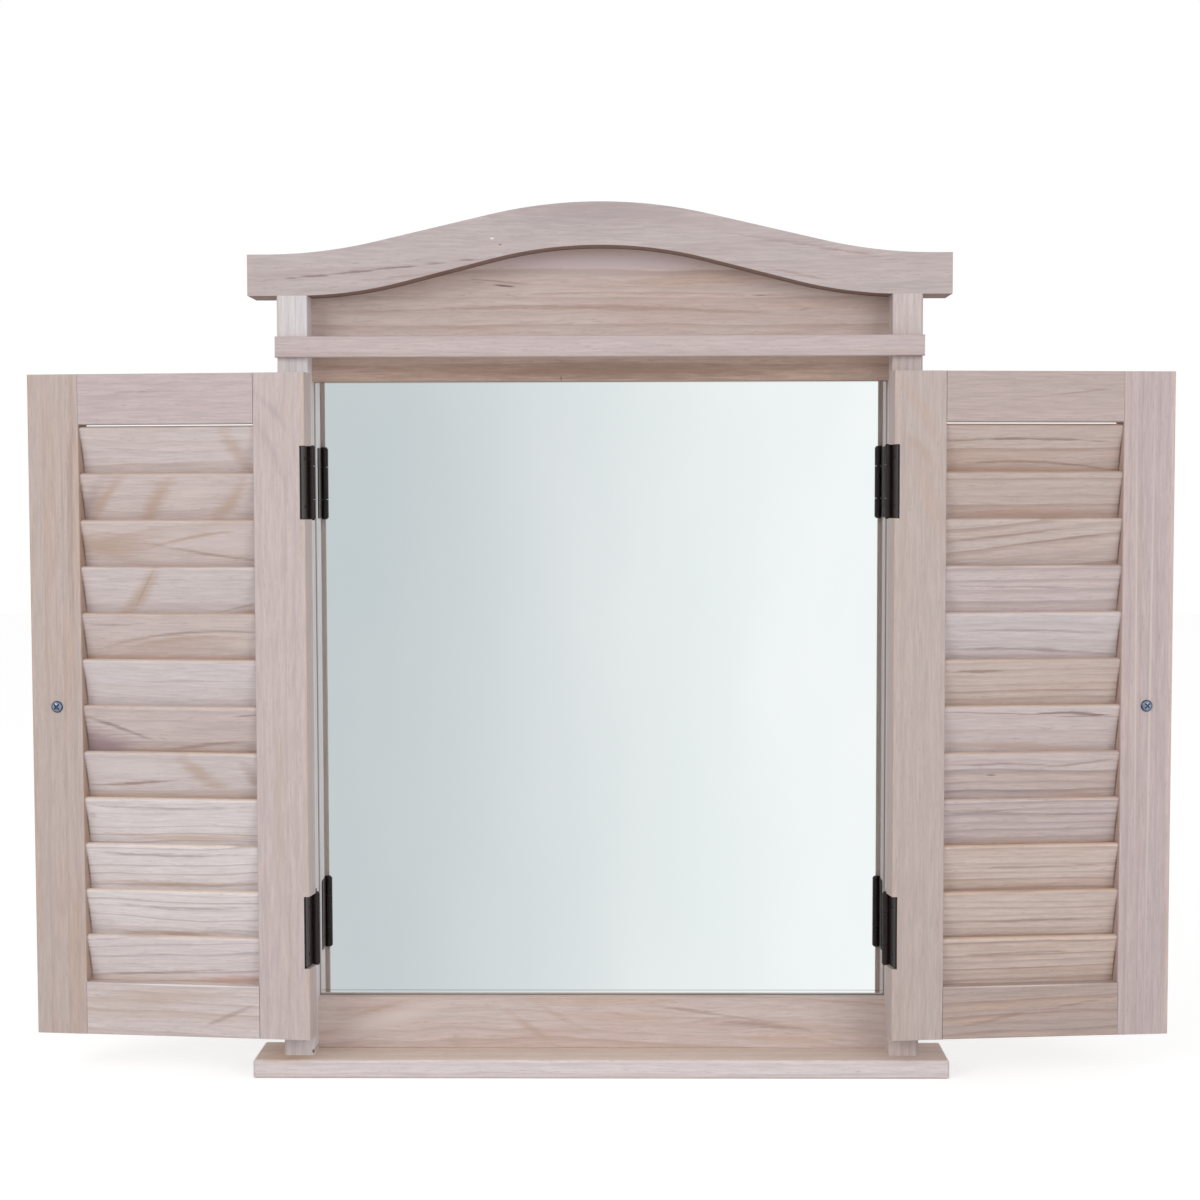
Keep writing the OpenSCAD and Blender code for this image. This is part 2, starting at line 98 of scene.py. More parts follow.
# %% Signals
def add_node(tree, kind, feeds=None, **settings):
    """Adds a node, sets its settings, and feeds its sockets with values, sockets or signals"""
    made = tree.nodes.new(kind)
    for name, value in settings.items():
        setattr(made, name, value)
    for name, value in (feeds or {}).items():
        feed(tree, made.inputs[name], value)
    return made


def feed(tree, socket, value):
    if isinstance(value, Signal):
        value = value.socket
    if isinstance(value, bpy.types.NodeSocket):
        tree.links.new(value, socket)
    else:
        socket.default_value = value


class Signal:
    """A number that changes over a surface"""

    def __init__(self, tree, socket):
        self.tree = tree
        self.socket = socket

    def math(self, operation, *others):
        feeds = dict(enumerate((self, *others)))
        made = add_node(self.tree, "ShaderNodeMath", feeds, operation=operation)
        return Signal(self.tree, made.outputs[0])

    def __add__(self, other):
        return self.math("ADD", other)

    def __sub__(self, other):
        return self.math("SUBTRACT", other)

    def __mul__(self, other):
        return self.math("MULTIPLY", other)

    def __truediv__(self, other):
        return self.math("DIVIDE", other)

    def ramp(self, start, end, low=0.0, high=1.0):
        """Runs smoothly from low to high as this signal runs from start to end, and stays level outside"""
        feeds = {0: self, 1: start, 2: end, 3: low, 4: high}
        made = add_node(self.tree, "ShaderNodeMapRange", feeds, interpolation_type="SMOOTHSTEP")
        return Signal(self.tree, made.outputs[0])


def vector_of(tree, x, y, z):
    return add_node(tree, "ShaderNodeCombineXYZ", {0: x, 1: y, 2: z}).outputs[0]


def parts_of(tree, vector):
    made = add_node(tree, "ShaderNodeSeparateXYZ", {0: vector})
    return [Signal(tree, socket) for socket in made.outputs]


def noise(tree, vector, seed, detail=2.0, roughness=0.5):
    """Soft noise round 0.5, with a bump to each unit of length, and a different one for each seed"""
    feeds = {"Vector": vector, "W": seed, "Scale": 1.0, "Detail": detail, "Roughness": roughness}
    made = add_node(tree, "ShaderNodeTexNoise", feeds, noise_dimensions="4D")
    return Signal(tree, made.outputs[0])


def blend(tree, share, first, second, blend_type="MIX"):
    """Goes from the first colour to the second as share goes from 0 to 1"""
    made = add_node(tree, "ShaderNodeMix", data_type="RGBA", blend_type=blend_type)
    feed(tree, made.inputs[0], share)
    feed(tree, made.inputs[6], first)
    feed(tree, made.inputs[7], second)
    return made.outputs[2]


print("signals ready")

# %% [markdown]
# ## Node groups
#
# Grain, edges (worn on metal, a painted highlight on wood) and small marks are wanted in many materials.
# Each is a node group with named sockets: built once, then placed in a material with values of its own,
# as a stamp is used again.

# %% Node group helper
SOCKET_KINDS = {"value": "NodeSocketFloat", "colour": "NodeSocketColor", "vector": "NodeSocketVector"}


def new_group(name, inputs, outputs):
    """Makes an empty group and returns it with its input and output nodes"""
    group = bpy.data.node_groups.new(name, "ShaderNodeTree")
    for label, kind in inputs.items():
        group.interface.new_socket(label, in_out="INPUT", socket_type=SOCKET_KINDS[kind])
    for label, kind in outputs.items():
        group.interface.new_socket(label, in_out="OUTPUT", socket_type=SOCKET_KINDS[kind])
    return group, group.nodes.new("NodeGroupInput"), group.nodes.new("NodeGroupOutput")


def place_group(tree, group, feeds):
    made = tree.nodes.new("ShaderNodeGroup")
    made.node_tree = group
    for name, value in feeds.items():
        feed(tree, made.inputs[name], value)
    return made


print("kinds of socket:", list(SOCKET_KINDS))

# %% [markdown]
# ## Growth rings
#
# A board is a slice of a log, and the lines on its face are where the slice cuts the yearly rings. So
# the grain isn't painted: the log's heart is placed somewhere beside the board, and each point asks how
# far it is from that heart. A heart far to the side gives straight lines, and a heart that runs slowly
# through the face gives the nested arches that sawyers call cathedrals. The same formula makes the
# curved lines on the end of the board, so the figure goes round every edge.
#
# Lengths in this group are in millimetres, with x along the grain, y across it and z through the board.

# %% Growth rings group
# Lengths of a noise's bumps, along the grain and across it
SLOW_BEND = (150.0, 24.0)
QUICK_BEND = (42.0, 9.0)
FIBRE = (17.0, 1.1)
FLECK = (5.5, 0.62)
CLOUD = (90.0, 9.0)
# A bow is given as its rise over this length
BOW_SPAN = 100.0
# Late wood is darkest at the first share of a year's width, and fades from the second to the next year
DARKEST = 0.93
FADES = 0.94


def long_cells(tree, x, y, z, lengths):
    """Coordinates in which a noise's bumps are long along the grain and narrow across it"""
    along, across = lengths
    return vector_of(tree, x / along, y / across, z / across)


def make_growth_rings():
    inputs = {"Vector": "vector", "Seed": "value", "Ring Width": "value", "Heart Across": "value",
              "Heart Depth": "value", "Heart Tilt": "value", "Rise": "value", "Bow": "value",
              "Wander": "value", "Early Share": "value"}
    outputs = {"Late Wood": "value", "Year Tint": "value", "Fibre": "value", "Fleck": "value",
               "Cloud": "value"}
    group, given, result = new_group("growth rings", inputs, outputs)
    value = {name: Signal(group, given.outputs[name]) for name in inputs}
    seed = value["Seed"]
    x, y, z = parts_of(group, value["Vector"])

    # Each noise below adds a number of its own to the seed, so that no two are alike
    slow = noise(group, long_cells(group, x, y, z, SLOW_BEND), seed, detail=1.0)
    quick = noise(group, long_cells(group, x, y, z, QUICK_BEND), seed + 3.7, detail=1.0)
    bend = ((slow - 0.5) * 2.0 + (quick - 0.5) * 0.7) * value["Wander"]
    bow = (x / BOW_SPAN) * (x / BOW_SPAN) * value["Bow"]
    grain_y = y - bow + bend
    side = grain_y - value["Heart Across"] - x * value["Rise"]
    depth = z - value["Heart Depth"] - x * value["Heart Tilt"]
    radius = (side * side + depth * depth).math("SQRT") + bend * 0.4

    years = radius / value["Ring Width"]
    uneven = noise(group, vector_of(group, years * 0.6, 0.0, 0.0), seed + 9.1, detail=1.0)
    years = years + (uneven - 0.5) * 1.1
    season = years.math("FRACT")
    year = years.math("FLOOR")
    luck = add_node(group, "ShaderNodeTexWhiteNoise", {"Vector": vector_of(group, year, seed, 0.0)},
                    noise_dimensions="3D")
    tint = Signal(group, luck.outputs["Value"])
    late = season.ramp(value["Early Share"], DARKEST) * season.ramp(FADES, 1.0, 1.0, 0.0)

    fibre = noise(group, long_cells(group, x, grain_y, z, FIBRE), seed + 1.3, detail=3.0, roughness=0.65)
    pores = noise(group, long_cells(group, x, grain_y, z, FLECK), seed + 5.9, detail=1.0)
    fleck = pores.ramp(0.56, 0.74) * season.ramp(0.05, 0.6, 1.0, 0.35)
    clouds = noise(group, long_cells(group, x, grain_y, z, CLOUD), seed + 7.7, detail=2.0)

    feed(group, result.inputs["Late Wood"], late * tint.ramp(0.0, 1.0, 0.35, 1.0))
    feed(group, result.inputs["Year Tint"], tint)
    feed(group, result.inputs["Fibre"], fibre)
    feed(group, result.inputs["Fleck"], fleck)
    feed(group, result.inputs["Cloud"], clouds)
    return group


growth_rings = make_growth_rings()
print("growth rings:", len(growth_rings.nodes), "nodes")

# %% [markdown]
# ## From rings to bare wood
#
# The rings are only masks. This group lays the colours on them: a pale ground, a warmer tone that comes
# and goes in clouds and along one side of the board, and a brown line where each year ends. The ends of
# a board drink light, so they are darker, and a painted highlight makes the arrises a little paler. It
# also returns the roughness and the height, because late wood planes smooth and the pores stay open.

# %% Bare wood group
PORE_SHARE = 0.36
FIBRE_SHADES = (0.9, 1.08)
END_SHADE = 0.8
EDGE_HIGHLIGHT_GAIN = 0.06
PLANED_ROUGHNESS = 0.58


def make_bare_wood():
    inputs = {"Late Wood": "value", "Year Tint": "value", "Fibre": "value", "Fleck": "value",
              "Cloud": "value", "Warm Side": "value", "End": "value", "Edge Highlight": "value",
              "Contrast": "value", "Warmth": "value",
              "Pale": "colour", "Warm": "colour", "Late": "colour"}
    outputs = {"Color": "colour", "Roughness": "value", "Height": "value"}
    group, given, result = new_group("bare wood", inputs, outputs)
    value = {name: Signal(group, given.outputs[name]) for name in inputs}

    clouds = value["Cloud"].ramp(0.34, 0.68) * 0.75 + (value["Year Tint"] - 0.5) * 0.5
    warm = clouds * value["Warmth"] + value["Warm Side"]
    colour = blend(group, warm.ramp(0.0, 1.0), value["Pale"], value["Warm"])
    colour = blend(group, value["Late Wood"] * value["Contrast"], colour, value["Late"])
    colour = blend(group, value["Fleck"] * PORE_SHARE, colour, value["Late"])
    shade = value["Fibre"].ramp(0.28, 0.72, *FIBRE_SHADES) * value["End"].ramp(0.0, 1.0, 1.0, END_SHADE)
    # Painted highlight: the arrises are made a little paler
    shade = shade + value["Edge Highlight"] * EDGE_HIGHLIGHT_GAIN
    grey = add_node(group, "ShaderNodeCombineColor", {0: shade, 1: shade, 2: shade})
    colour = blend(group, 1.0, colour, grey.outputs[0], "MULTIPLY")

    rough = value["Fibre"] * 0.16 - value["Late Wood"] * 0.08 + value["End"] * 0.12 + PLANED_ROUGHNESS
    height = value["Fibre"] * 0.55 + value["Late Wood"] * 0.25 - value["Fleck"] * 0.8
    feed(group, result.inputs["Color"], colour)
    feed(group, result.inputs["Roughness"], rough)
    feed(group, result.inputs["Height"], height)
    return group


bare_wood = make_bare_wood()
print("bare wood:", len(bare_wood.nodes), "nodes")

# %% [markdown]
# ## Edge wear and painted highlight
#
# A Bevel node looks a little way round each point and returns the normal that a rounded edge would have
# there. Where that normal leaves the true one, there is an edge. Noise breaks the line up, so that it is
# never even. The metals take this mask as wear, and the wood as a painted highlight along its arrises.

# %% Edge wear and highlight group
def make_edge_wear_and_highlight():
    inputs = {"Vector": "vector", "Radius": "value", "Patches": "value"}
    # The metals take this mask as wear, the wood as a painted highlight
    group, given, result = new_group("worn edges", inputs, {"Mask": "value"})
    rounded = add_node(group, "ShaderNodeBevel", {"Radius": given.outputs["Radius"]}, samples=3)
    true = group.nodes.new("ShaderNodeNewGeometry")
    likeness = add_node(group, "ShaderNodeVectorMath", {0: rounded.outputs[0], 1: true.outputs["Normal"]},
                        operation="DOT_PRODUCT")
    turned = Signal(group, likeness.outputs["Value"]).ramp(0.99, 0.86)
    patches = noise(group, given.outputs["Vector"], given.outputs["Patches"], detail=3.0)
    feed(group, result.inputs["Mask"], turned * patches.ramp(0.35, 0.65))
    return group


edge_wear_and_highlight = make_edge_wear_and_highlight()
print("worn edges:", len(edge_wear_and_highlight.nodes), "nodes")

# %% [markdown]
# ## Marks
#
# Rings alone give the general run of the grain. What makes one board that board is a dark mineral
# streak, a pale tongue of sapwood, a chip or a bruise. Each is a soft ellipse at one place. The group
# turns, bends and shrinks the board's own coordinates until the ellipse is a unit circle, and the fibres
# fray its rim.

# %% Mark group
MARK_RIM = 1.05


def make_mark():
    inputs = {"Vector": "vector", "Fibre": "value", "Place": "vector", "Length": "value",
              "Height": "value", "Turn": "value", "Bow": "value", "Fray": "value", "Softness": "value"}
    group, given, result = new_group("mark", inputs, {"Mask": "value"})
    value = {name: Signal(group, given.outputs[name]) for name in inputs}
    from_mark = add_node(group, "ShaderNodeVectorMath",
                         {0: given.outputs["Vector"], 1: given.outputs["Place"]}, operation="SUBTRACT")
    x, y = parts_of(group, from_mark.outputs[0])[:2]
    cosine = value["Turn"].math("COSINE")
    sine = value["Turn"].math("SINE")
    along = x * cosine + y * sine
    bend = (along / BOW_SPAN) * (along / BOW_SPAN) * value["Bow"]
    across = (y * cosine - x * sine - bend) / value["Height"]
    along = along / value["Length"]
    fray = (value["Fibre"] - 0.5) * value["Fray"]
    reach = (along * along + across * across).math("SQRT") + fray
    full_inside = value["Softness"] * -1.0 + 1.0
    feed(group, result.inputs["Mask"], reach.ramp(full_inside, MARK_RIM, 1.0, 0.0))
    return group


mark_group = make_mark()
print("groups:", sorted(group.name for group in bpy.data.node_groups))

# %% [markdown]
# ## A board's own axes
#
# Grain belongs to its board, so it is measured from the board's centre along the board's own
# directions. The frame's boards lie square. A shutter rests folded back a few degrees past flat, and its
# slats lean as well. The hinge's range gives the first angle, since it ends with the shutter closed.

# %% Board axes
SLAT_LEAN = math.radians(17)
joint_range = frame["joints"][0]["range_deg"]
PAST_FLAT = math.radians(joint_range[1] - 180)
OUT = {"left": -1, "right": 1}

UP = Vector((0, 0, 1))
RIGHT = Vector((1, 0, 0))


def shutter_outward(side):
    """The level direction from a shutter's hinge to its free edge, as it rests"""
    return Vector((OUT[side] * math.cos(PAST_FLAT), math.sin(PAST_FLAT), 0))


def level_axes(side=None):
    """Along, across and depth of a board whose grain runs level from left to right"""
    along = RIGHT if side is None else shutter_outward(side) * OUT[side]
    return along, UP, along.cross(UP)


def upright_axes(side=None):
    """Along, across and depth of a board whose grain runs upwards"""
    across = RIGHT if side is None else shutter_outward(side) * OUT[side]
    return UP, across, UP.cross(across)


def slat_axes(side):
    """As a level board, leaning so that its upper edge comes forward"""
    along, across, depth = level_axes(side)
    lean = Matrix.Rotation(SLAT_LEAN, 3, along)
    return along, lean @ across, lean @ depth


def centre_of(name):
    low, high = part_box(name)
    return (Vector(low) + Vector(high)) / 2


print("shutters rest", round(math.degrees(PAST_FLAT), 1), "degrees past flat")

# %% [markdown]
# ## One board, one material
#
# Two boards never share a tree, so each gets a material of its own, with a seed, three tones and the
# place of the log's heart. Marks come last. Their places and sizes are in millimetres from the board's
# centre, and a turn is in degrees, anticlockwise.
#
# The marks come in three kinds. A streak follows a few fibres, a band is a broad stripe that bows across
# the board, and a cloud is a change of tone without a rim.

# %% Marks on a board
NO_RIM = 0.95


def streak(x, y, length, height, turn=0.0, bow=0.0, paint=BROWN, strength=0.5, fray=1.1, soft=0.7):
    """A mark that runs along the grain. Length and height are halves, and bow is its rise over 100 mm"""
    feeds = {"Place": (x, y, 0.0), "Length": length, "Height": height, "Turn": math.radians(turn),
             "Bow": bow, "Fray": fray, "Softness": soft}
    return feeds, paint, strength


def cloud(x, y, length, height, turn=0.0, paint=TAN, strength=0.5):
    """A wide mark with a soft rim"""
    return streak(x, y, length, height, turn, 0.0, paint, strength, 0.9, NO_RIM)


def band(x, y, length, height, turn, bow, paint, strength, fray=1.2):
    """A broad, curved mark with a soft rim"""
    return streak(x, y, length, height, turn, bow, paint, strength, fray, NO_RIM)


def add_marks(tree, colour, place, fibre, marks):
    for feeds, paint, strength in marks:
        mark = place_group(tree, mark_group, {"Vector": place, "Fibre": fibre, **feeds})
        colour = blend(tree, Signal(tree, mark.outputs[0]) * strength, colour, paint)
    return colour


print("a cloud's values:", list(cloud(0.0, 0.0, 10.0, 5.0)[0]))

# %% Material helpers
def new_material(name):
    """Makes a material and returns it with its tree and its shader"""
    material = bpy.data.materials.new(name)
    material.use_nodes = True
    tree = material.node_tree
    return material, tree, tree.nodes["Principled BSDF"]


def stretch(tree, vector, scale):
    return add_node(tree, "ShaderNodeMapping", {"Vector": vector, "Scale": scale}).outputs[0]


def finish_shader(tree, shader, colour, roughness, height, depth, strength):
    """Feeds colour and roughness to a shader, and bumps as deep as depth, in millimetres"""
    bump = add_node(tree, "ShaderNodeBump", {"Strength": strength, "Distance": depth * MM,
                                             "Height": height})
    feed(tree, shader.inputs["Base Color"], colour)
    feed(tree, shader.inputs["Roughness"], roughness)
    feed(tree, shader.inputs["Normal"], bump.outputs[0])


def edge_glow(across, start, end):
    """A warm strip down one side of a board, from nothing at start to full at end, in millimetres"""
    return across.ramp(start, end) if start < end else across.ramp(end, start, 1.0, 0.0)


def facing(tree, normal, direction, both_ways=True):
    """One where the surface looks along a direction, or against it too, and nothing elsewhere"""
    dot = add_node(tree, "ShaderNodeVectorMath", {0: normal, 1: direction}, operation="DOT_PRODUCT")
    likeness = Signal(tree, dot.outputs["Value"])
    if both_ways:
        likeness = likeness.math("ABSOLUTE")
    return likeness.ramp(0.6, 0.95)


print("material helpers ready")

# %% Board material
EDGE_HIGHLIGHT_RADIUS = 1.2 * MM
WOOD_SHINE = 0.32


def board_material(name, axes, pale=ASH, warm=TAN, late=BROWN, seed=0.0, ring=6.5, heart=(-60.0, -35.0),
                   tilt=0.0, rise=0.0, bow=0.0, wander=2.5, early=0.38, contrast=0.42, warmth=0.55,
                   glow=None, sides=None, under=None, marks=()):
    """The wood of one board. Pale, warm and late are its tones, ring is the width of a year, and heart is
    how far the log's heart lies from the board's centre, across and through it. Glow is where a warm
    strip starts and ends, sides tints both long edges, and the underside tint only the lower one, as
    painted shade"""
    material, tree, shader = new_material(name.replace("_", " ") + " wood")
    shader.inputs["Specular IOR Level"].default_value = WOOD_SHINE

    along, across, depth = axes
    turn = Matrix((along, across, depth)).transposed().to_euler()
    where = tree.nodes.new("ShaderNodeTexCoord")
    feeds = {"Vector": where.outputs["Object"], "Location": centre_of(name), "Rotation": turn,
             "Scale": (MM, MM, MM)}
    place = add_node(tree, "ShaderNodeMapping", feeds, vector_type="TEXTURE").outputs[0]

    rings = place_group(tree, growth_rings, {
        "Vector": place, "Seed": seed, "Ring Width": ring, "Heart Across": heart[0],
        "Heart Depth": heart[1], "Heart Tilt": tilt, "Rise": rise, "Bow": bow, "Wander": wander,
        "Early Share": early})
    end = facing(tree, where.outputs["Normal"], along)
    # The edge mask gives the wood a painted highlight along its arrises
    worn = place_group(tree, edge_wear_and_highlight, {"Vector": where.outputs["Object"], "Radius": EDGE_HIGHLIGHT_RADIUS,
                                          "Patches": seed})
    strip = 0.0
    if glow:
        strip = edge_glow(parts_of(tree, place)[1], *glow)

    finish = place_group(tree, bare_wood, {
        **{mask: rings.outputs[mask] for mask in ("Late Wood", "Year Tint", "Fibre", "Fleck", "Cloud")},
        "Warm Side": strip, "End": end, "Edge Highlight": worn.outputs[0], "Contrast": contrast,
        "Warmth": warmth, "Pale": pale, "Warm": warm, "Late": late})
    colour = add_marks(tree, finish.outputs["Color"], place, rings.outputs["Fibre"], marks)
    if sides:
        colour = blend(tree, facing(tree, where.outputs["Normal"], across), colour, sides, "MULTIPLY")
    # Painted shade on the faces that look down
    if under:
        downward = facing(tree, where.outputs["Normal"], -across, both_ways=False)
        colour = blend(tree, downward, colour, under, "MULTIPLY")
    finish_shader(tree, shader, colour, finish.outputs["Roughness"], finish.outputs["Height"],
                  depth=0.12, strength=0.35)
    return material


dressed = []


def dress(name, material):
    """Puts a material in every slot of a piece"""
    for index in range(len(nodes[name].data.materials)):
        nodes[name].data.materials[index] = material
    dressed.append(name)


def dress_board(name, axes, **figure):
    dress(name, board_material(name, axes, **figure))


print("pieces to dress:", len(nodes))

# %% [markdown]
# ## The frame's level boards
#
# The cornice and the strip are plain and greyish, and painted shade darkens the arch underneath. The two
# panels behind them are warmer: the header shows its years as long level bands, with painted shade along
# its bottom under the cross strip, and the bottom rail was sawn across a bend in the log, so its figure
# slants. The sill is the palest board, a little yellower on top.

# %% Frame's level boards
# The pale chip tone and the sapwood tone also serve as painted light: a line along each low rail's top
# edge, where light comes through under the last slat
PALE_CHIP_AND_GAP_LIGHT = tone(240, 234, 229)
DARK_CHIP = tone(92, 78, 74)
SAP_AND_GAP_LIGHT = tone(226, 214, 202)

dress_board("cornice", level_axes(), seed=11.0, pale=tone(192, 179, 178), warm=tone(190, 172, 167),
            late=tone(148, 131, 131), ring=9.0, heart=(-70.0, -40.0), rise=0.06, wander=4.0,
            # The underside tint is painted shade under the arch
            contrast=0.16, warmth=0.4, under=tone(196, 170, 158),
            marks=[streak(-140.0, -13.0, 75.0, 1.1, 5.5, paint=UMBER, strength=0.6, fray=3.2),
                   streak(-100.0, -14.5, 60.0, 1.4, 6.0, paint=BROWN, strength=0.3, fray=2.4),
                   streak(120.0, 2.0, 60.0, 1.2, -9.0, paint=BROWN, strength=0.35, fray=3.0),
                   streak(120.0, -16.0, 30.0, 1.0, -12.0, paint=BROWN, strength=0.4, fray=2.6),
                   cloud(60.0, 14.0, 60.0, 5.0, -6.0, MAUVE, 0.5),
                   cloud(0.0, 22.0, 90.0, 16.0, 0.0, tone(168, 154, 154), 0.6),
                   streak(-63.7, 5.9, 1.5, 0.8, paint=PALE_CHIP_AND_GAP_LIGHT, strength=0.9),
                   streak(-58.9, 2.3, 1.1, 0.6, paint=DARK_CHIP, strength=0.8)])
dress_board("header_panel", level_axes(), seed=12.0, pale=tone(203, 185, 179), warm=tone(192, 166, 152),
            late=tone(150, 122, 110), ring=7.5, heart=(-90.0, -22.0), wander=2.2, contrast=0.4, warmth=0.7,
            # The warm strip along the bottom is painted shade, where the cross strip shades the panel
            glow=(-22.0, -29.0),
            marks=[streak(-6.0, 4.5, 150.0, 2.0, -0.6, -2.0, tone(158, 128, 112), 0.5),
                   streak(30.0, 13.0, 110.0, 0.9, -0.4, -2.0, tone(176, 138, 118), 0.4),
                   cloud(0.0, 32.0, 110.0, 10.0, 0.0, tone(206, 190, 194), 0.7),
                   streak(-57.6, 17.5, 7.5, 0.6, -5.0, paint=DARK_CHIP, strength=0.85),
                   streak(-60.0, 20.0, 30.0, 0.7, -6.0, paint=BROWN, strength=0.5),
                   streak(96.9, 11.4, 9.0, 0.5, paint=UMBER, strength=0.7, fray=2.0),
                   # Painted shadow of the cross strip along the bottom of the panel
                   cloud(0.0, -34.0, 190.0, 8.0, 0.0, tone(146, 120, 104), 0.85),
                   streak(-23.5, -38.0, 2.2, 0.5, 90.0, paint=DARK_CHIP, strength=0.9)])
dress_board("cross_strip", level_axes(), seed=13.0, pale=tone(199, 184, 183), warm=tone(202, 182, 178),
            ring=6.0, heart=(-40.0, -60.0), wander=1.5, contrast=0.2, warmth=0.35)
dress_board("bottom_rail", level_axes(), seed=14.0, pale=tone(208, 192, 187), warm=tone(202, 177, 164),
            late=tone(170, 144, 132), ring=6.5, heart=(-26.0, 9.0), tilt=-0.05, rise=-0.03, wander=5.5,
            contrast=0.32, warmth=0.85,
            marks=[cloud(-128.0, 3.0, 46.0, 7.0, 14.0, tone(218, 205, 200), 0.75),
                   cloud(-140.0, 8.0, 30.0, 2.4, 16.0, DUN, 0.5),
                   band(-44.0, -3.0, 26.0, 3.4, -34.0, 12.0, DUN, 0.5, 1.3),
                   band(-26.0, 4.0, 24.0, 3.0, -28.0, 10.0, DUN, 0.4, 1.3),
                   band(96.0, -1.0, 44.0, 3.0, -5.0, -6.0, tone(154, 126, 116), 0.55, 1.3),
                   streak(66.0, 6.0, 40.0, 1.3, -8.0, paint=BROWN, strength=0.45, fray=2.0),
                   cloud(120.0, -10.0, 50.0, 4.0, 0.0, HONEY, 0.4)])
dress_board("sill", level_axes(), seed=15.0, pale=tone(223, 212, 212), warm=tone(214, 198, 190),
            late=tone(168, 146, 136), ring=5.5, heart=(-45.0, 30.0), wander=1.5, contrast=0.3, warmth=0.3,
            sides=tone(255, 245, 231), marks=[cloud(-190.0, 6.0, 24.0, 3.0, 0.0, HONEY, 0.5)])
print("dressed so far:", len(dressed))

# %% [markdown]
# ## The posts
#
# The posts stand, so their lines run upwards. The left one is the paler, with a yellow edge, and the
# right one has pinker stripes. A board's own "across" points to the right here.

# %% Posts
dress_board("left_post", upright_axes(), seed=16.0, pale=tone(217, 211, 213), warm=tone(213, 203, 192),
            late=MAUVE, ring=4.5, heart=(-34.0, -20.0), wander=1.2, contrast=0.3, warmth=0.3,
            glow=(-7.5, -9.0), marks=[streak(-227.0, 8.4, 1.6, 1.0, paint=DARK_CHIP, strength=0.9)])
dress_board("right_post", upright_axes(), seed=17.0, pale=tone(204, 191, 189), warm=tone(197, 175, 165),
            late=tone(160, 140, 136), ring=4.5, heart=(30.0, -22.0), wander=1.2, contrast=0.45, warmth=0.5)
print("dressed so far:", len(dressed))

# %% [markdown]
# ## The shutters' stiles
#
# A stile is an upright of the shutter, and the closing stile is the one with the knob. All four are cut
# from straight wood, and the hinge stiles carry a warm strip down the hinge edge, with soft arcs at the
# top. The right shutter came from a darker plank than the left.

# %% Shutter stiles
STRAIGHT = {"ring": 5.0, "wander": 1.4}
dress_board("left_closing_stile", upright_axes("left"), seed=19.0, pale=tone(194, 178, 172), warm=TAN,
            heart=(38.0, -30.0), contrast=0.22, warmth=0.6, sides=tone(240, 227, 214), **STRAIGHT,
            marks=[streak(120.0, 10.0, 90.0, 2.5, 1.0, 3.0, BROWN, 0.35),
                   streak(-60.0, -6.0, 150.0, 1.6, 0.6, paint=MAUVE, strength=0.4)])
dress_board("right_closing_stile", upright_axes("right"), seed=21.0, pale=tone(194, 178, 178), warm=ROSE,
            heart=(-38.0, -30.0), contrast=0.24, warmth=0.5, glow=(12.0, 16.0),
            sides=tone(250, 238, 226), **STRAIGHT,
            marks=[streak(0.0, 2.0, 230.0, 0.9, 0.3, paint=SAP_AND_GAP_LIGHT, strength=0.4),
                   streak(40.0, -7.0, 200.0, 0.8, -0.4, paint=SAP_AND_GAP_LIGHT, strength=0.35)])
dress_board("left_hinge_stile", upright_axes("left"), seed=23.0, pale=tone(202, 187, 185),
            warm=tone(205, 187, 178), heart=(-26.0, -34.0), contrast=0.16, warmth=0.35, glow=(12.2, 15.2),
            # The grey tint on the long edges is painted shade on the edge faces
            sides=tone(240, 243, 250), **STRAIGHT,
            marks=[cloud(-60.0, -2.0, 90.0, 5.0, 0.0, tone(190, 176, 160), 0.5),
                   band(178.0, -4.0, 24.0, 3.4, -42.0, -90.0, SMOKE, 0.28),
                   band(156.0, -5.0, 34.0, 3.4, -26.0, -50.0, SMOKE, 0.22)])
dress_board("right_hinge_stile", upright_axes("right"), seed=25.0, pale=tone(193, 178, 173),
            warm=tone(198, 179, 170), heart=(26.0, -34.0), contrast=0.2, warmth=0.4, glow=(-12.2, -15.2),
            # The grey tint on the long edges is painted shade on the edge faces
            sides=tone(244, 248, 255), **STRAIGHT,
            marks=[band(176.0, 1.5, 32.0, 5.5, -31.0, -60.0, TAN, 0.42),
                   band(152.0, 1.5, 26.0, 4.5, -43.0, -60.0, DUN, 0.5),
                   cloud(126.0, 5.0, 34.0, 7.0, -20.0, TAN, 0.4),
                   cloud(-80.0, -9.0, 100.0, 2.5, 0.0, MAUVE, 0.5)])
print("dressed so far:", len(dressed))

# %% [markdown]
# ## The shutters' rails
#
# A rail joins two stiles, and its grain runs level. The low rails were sawn nearer to the log's heart
# than the top ones, and at a slight tilt to it, so their lines spread.

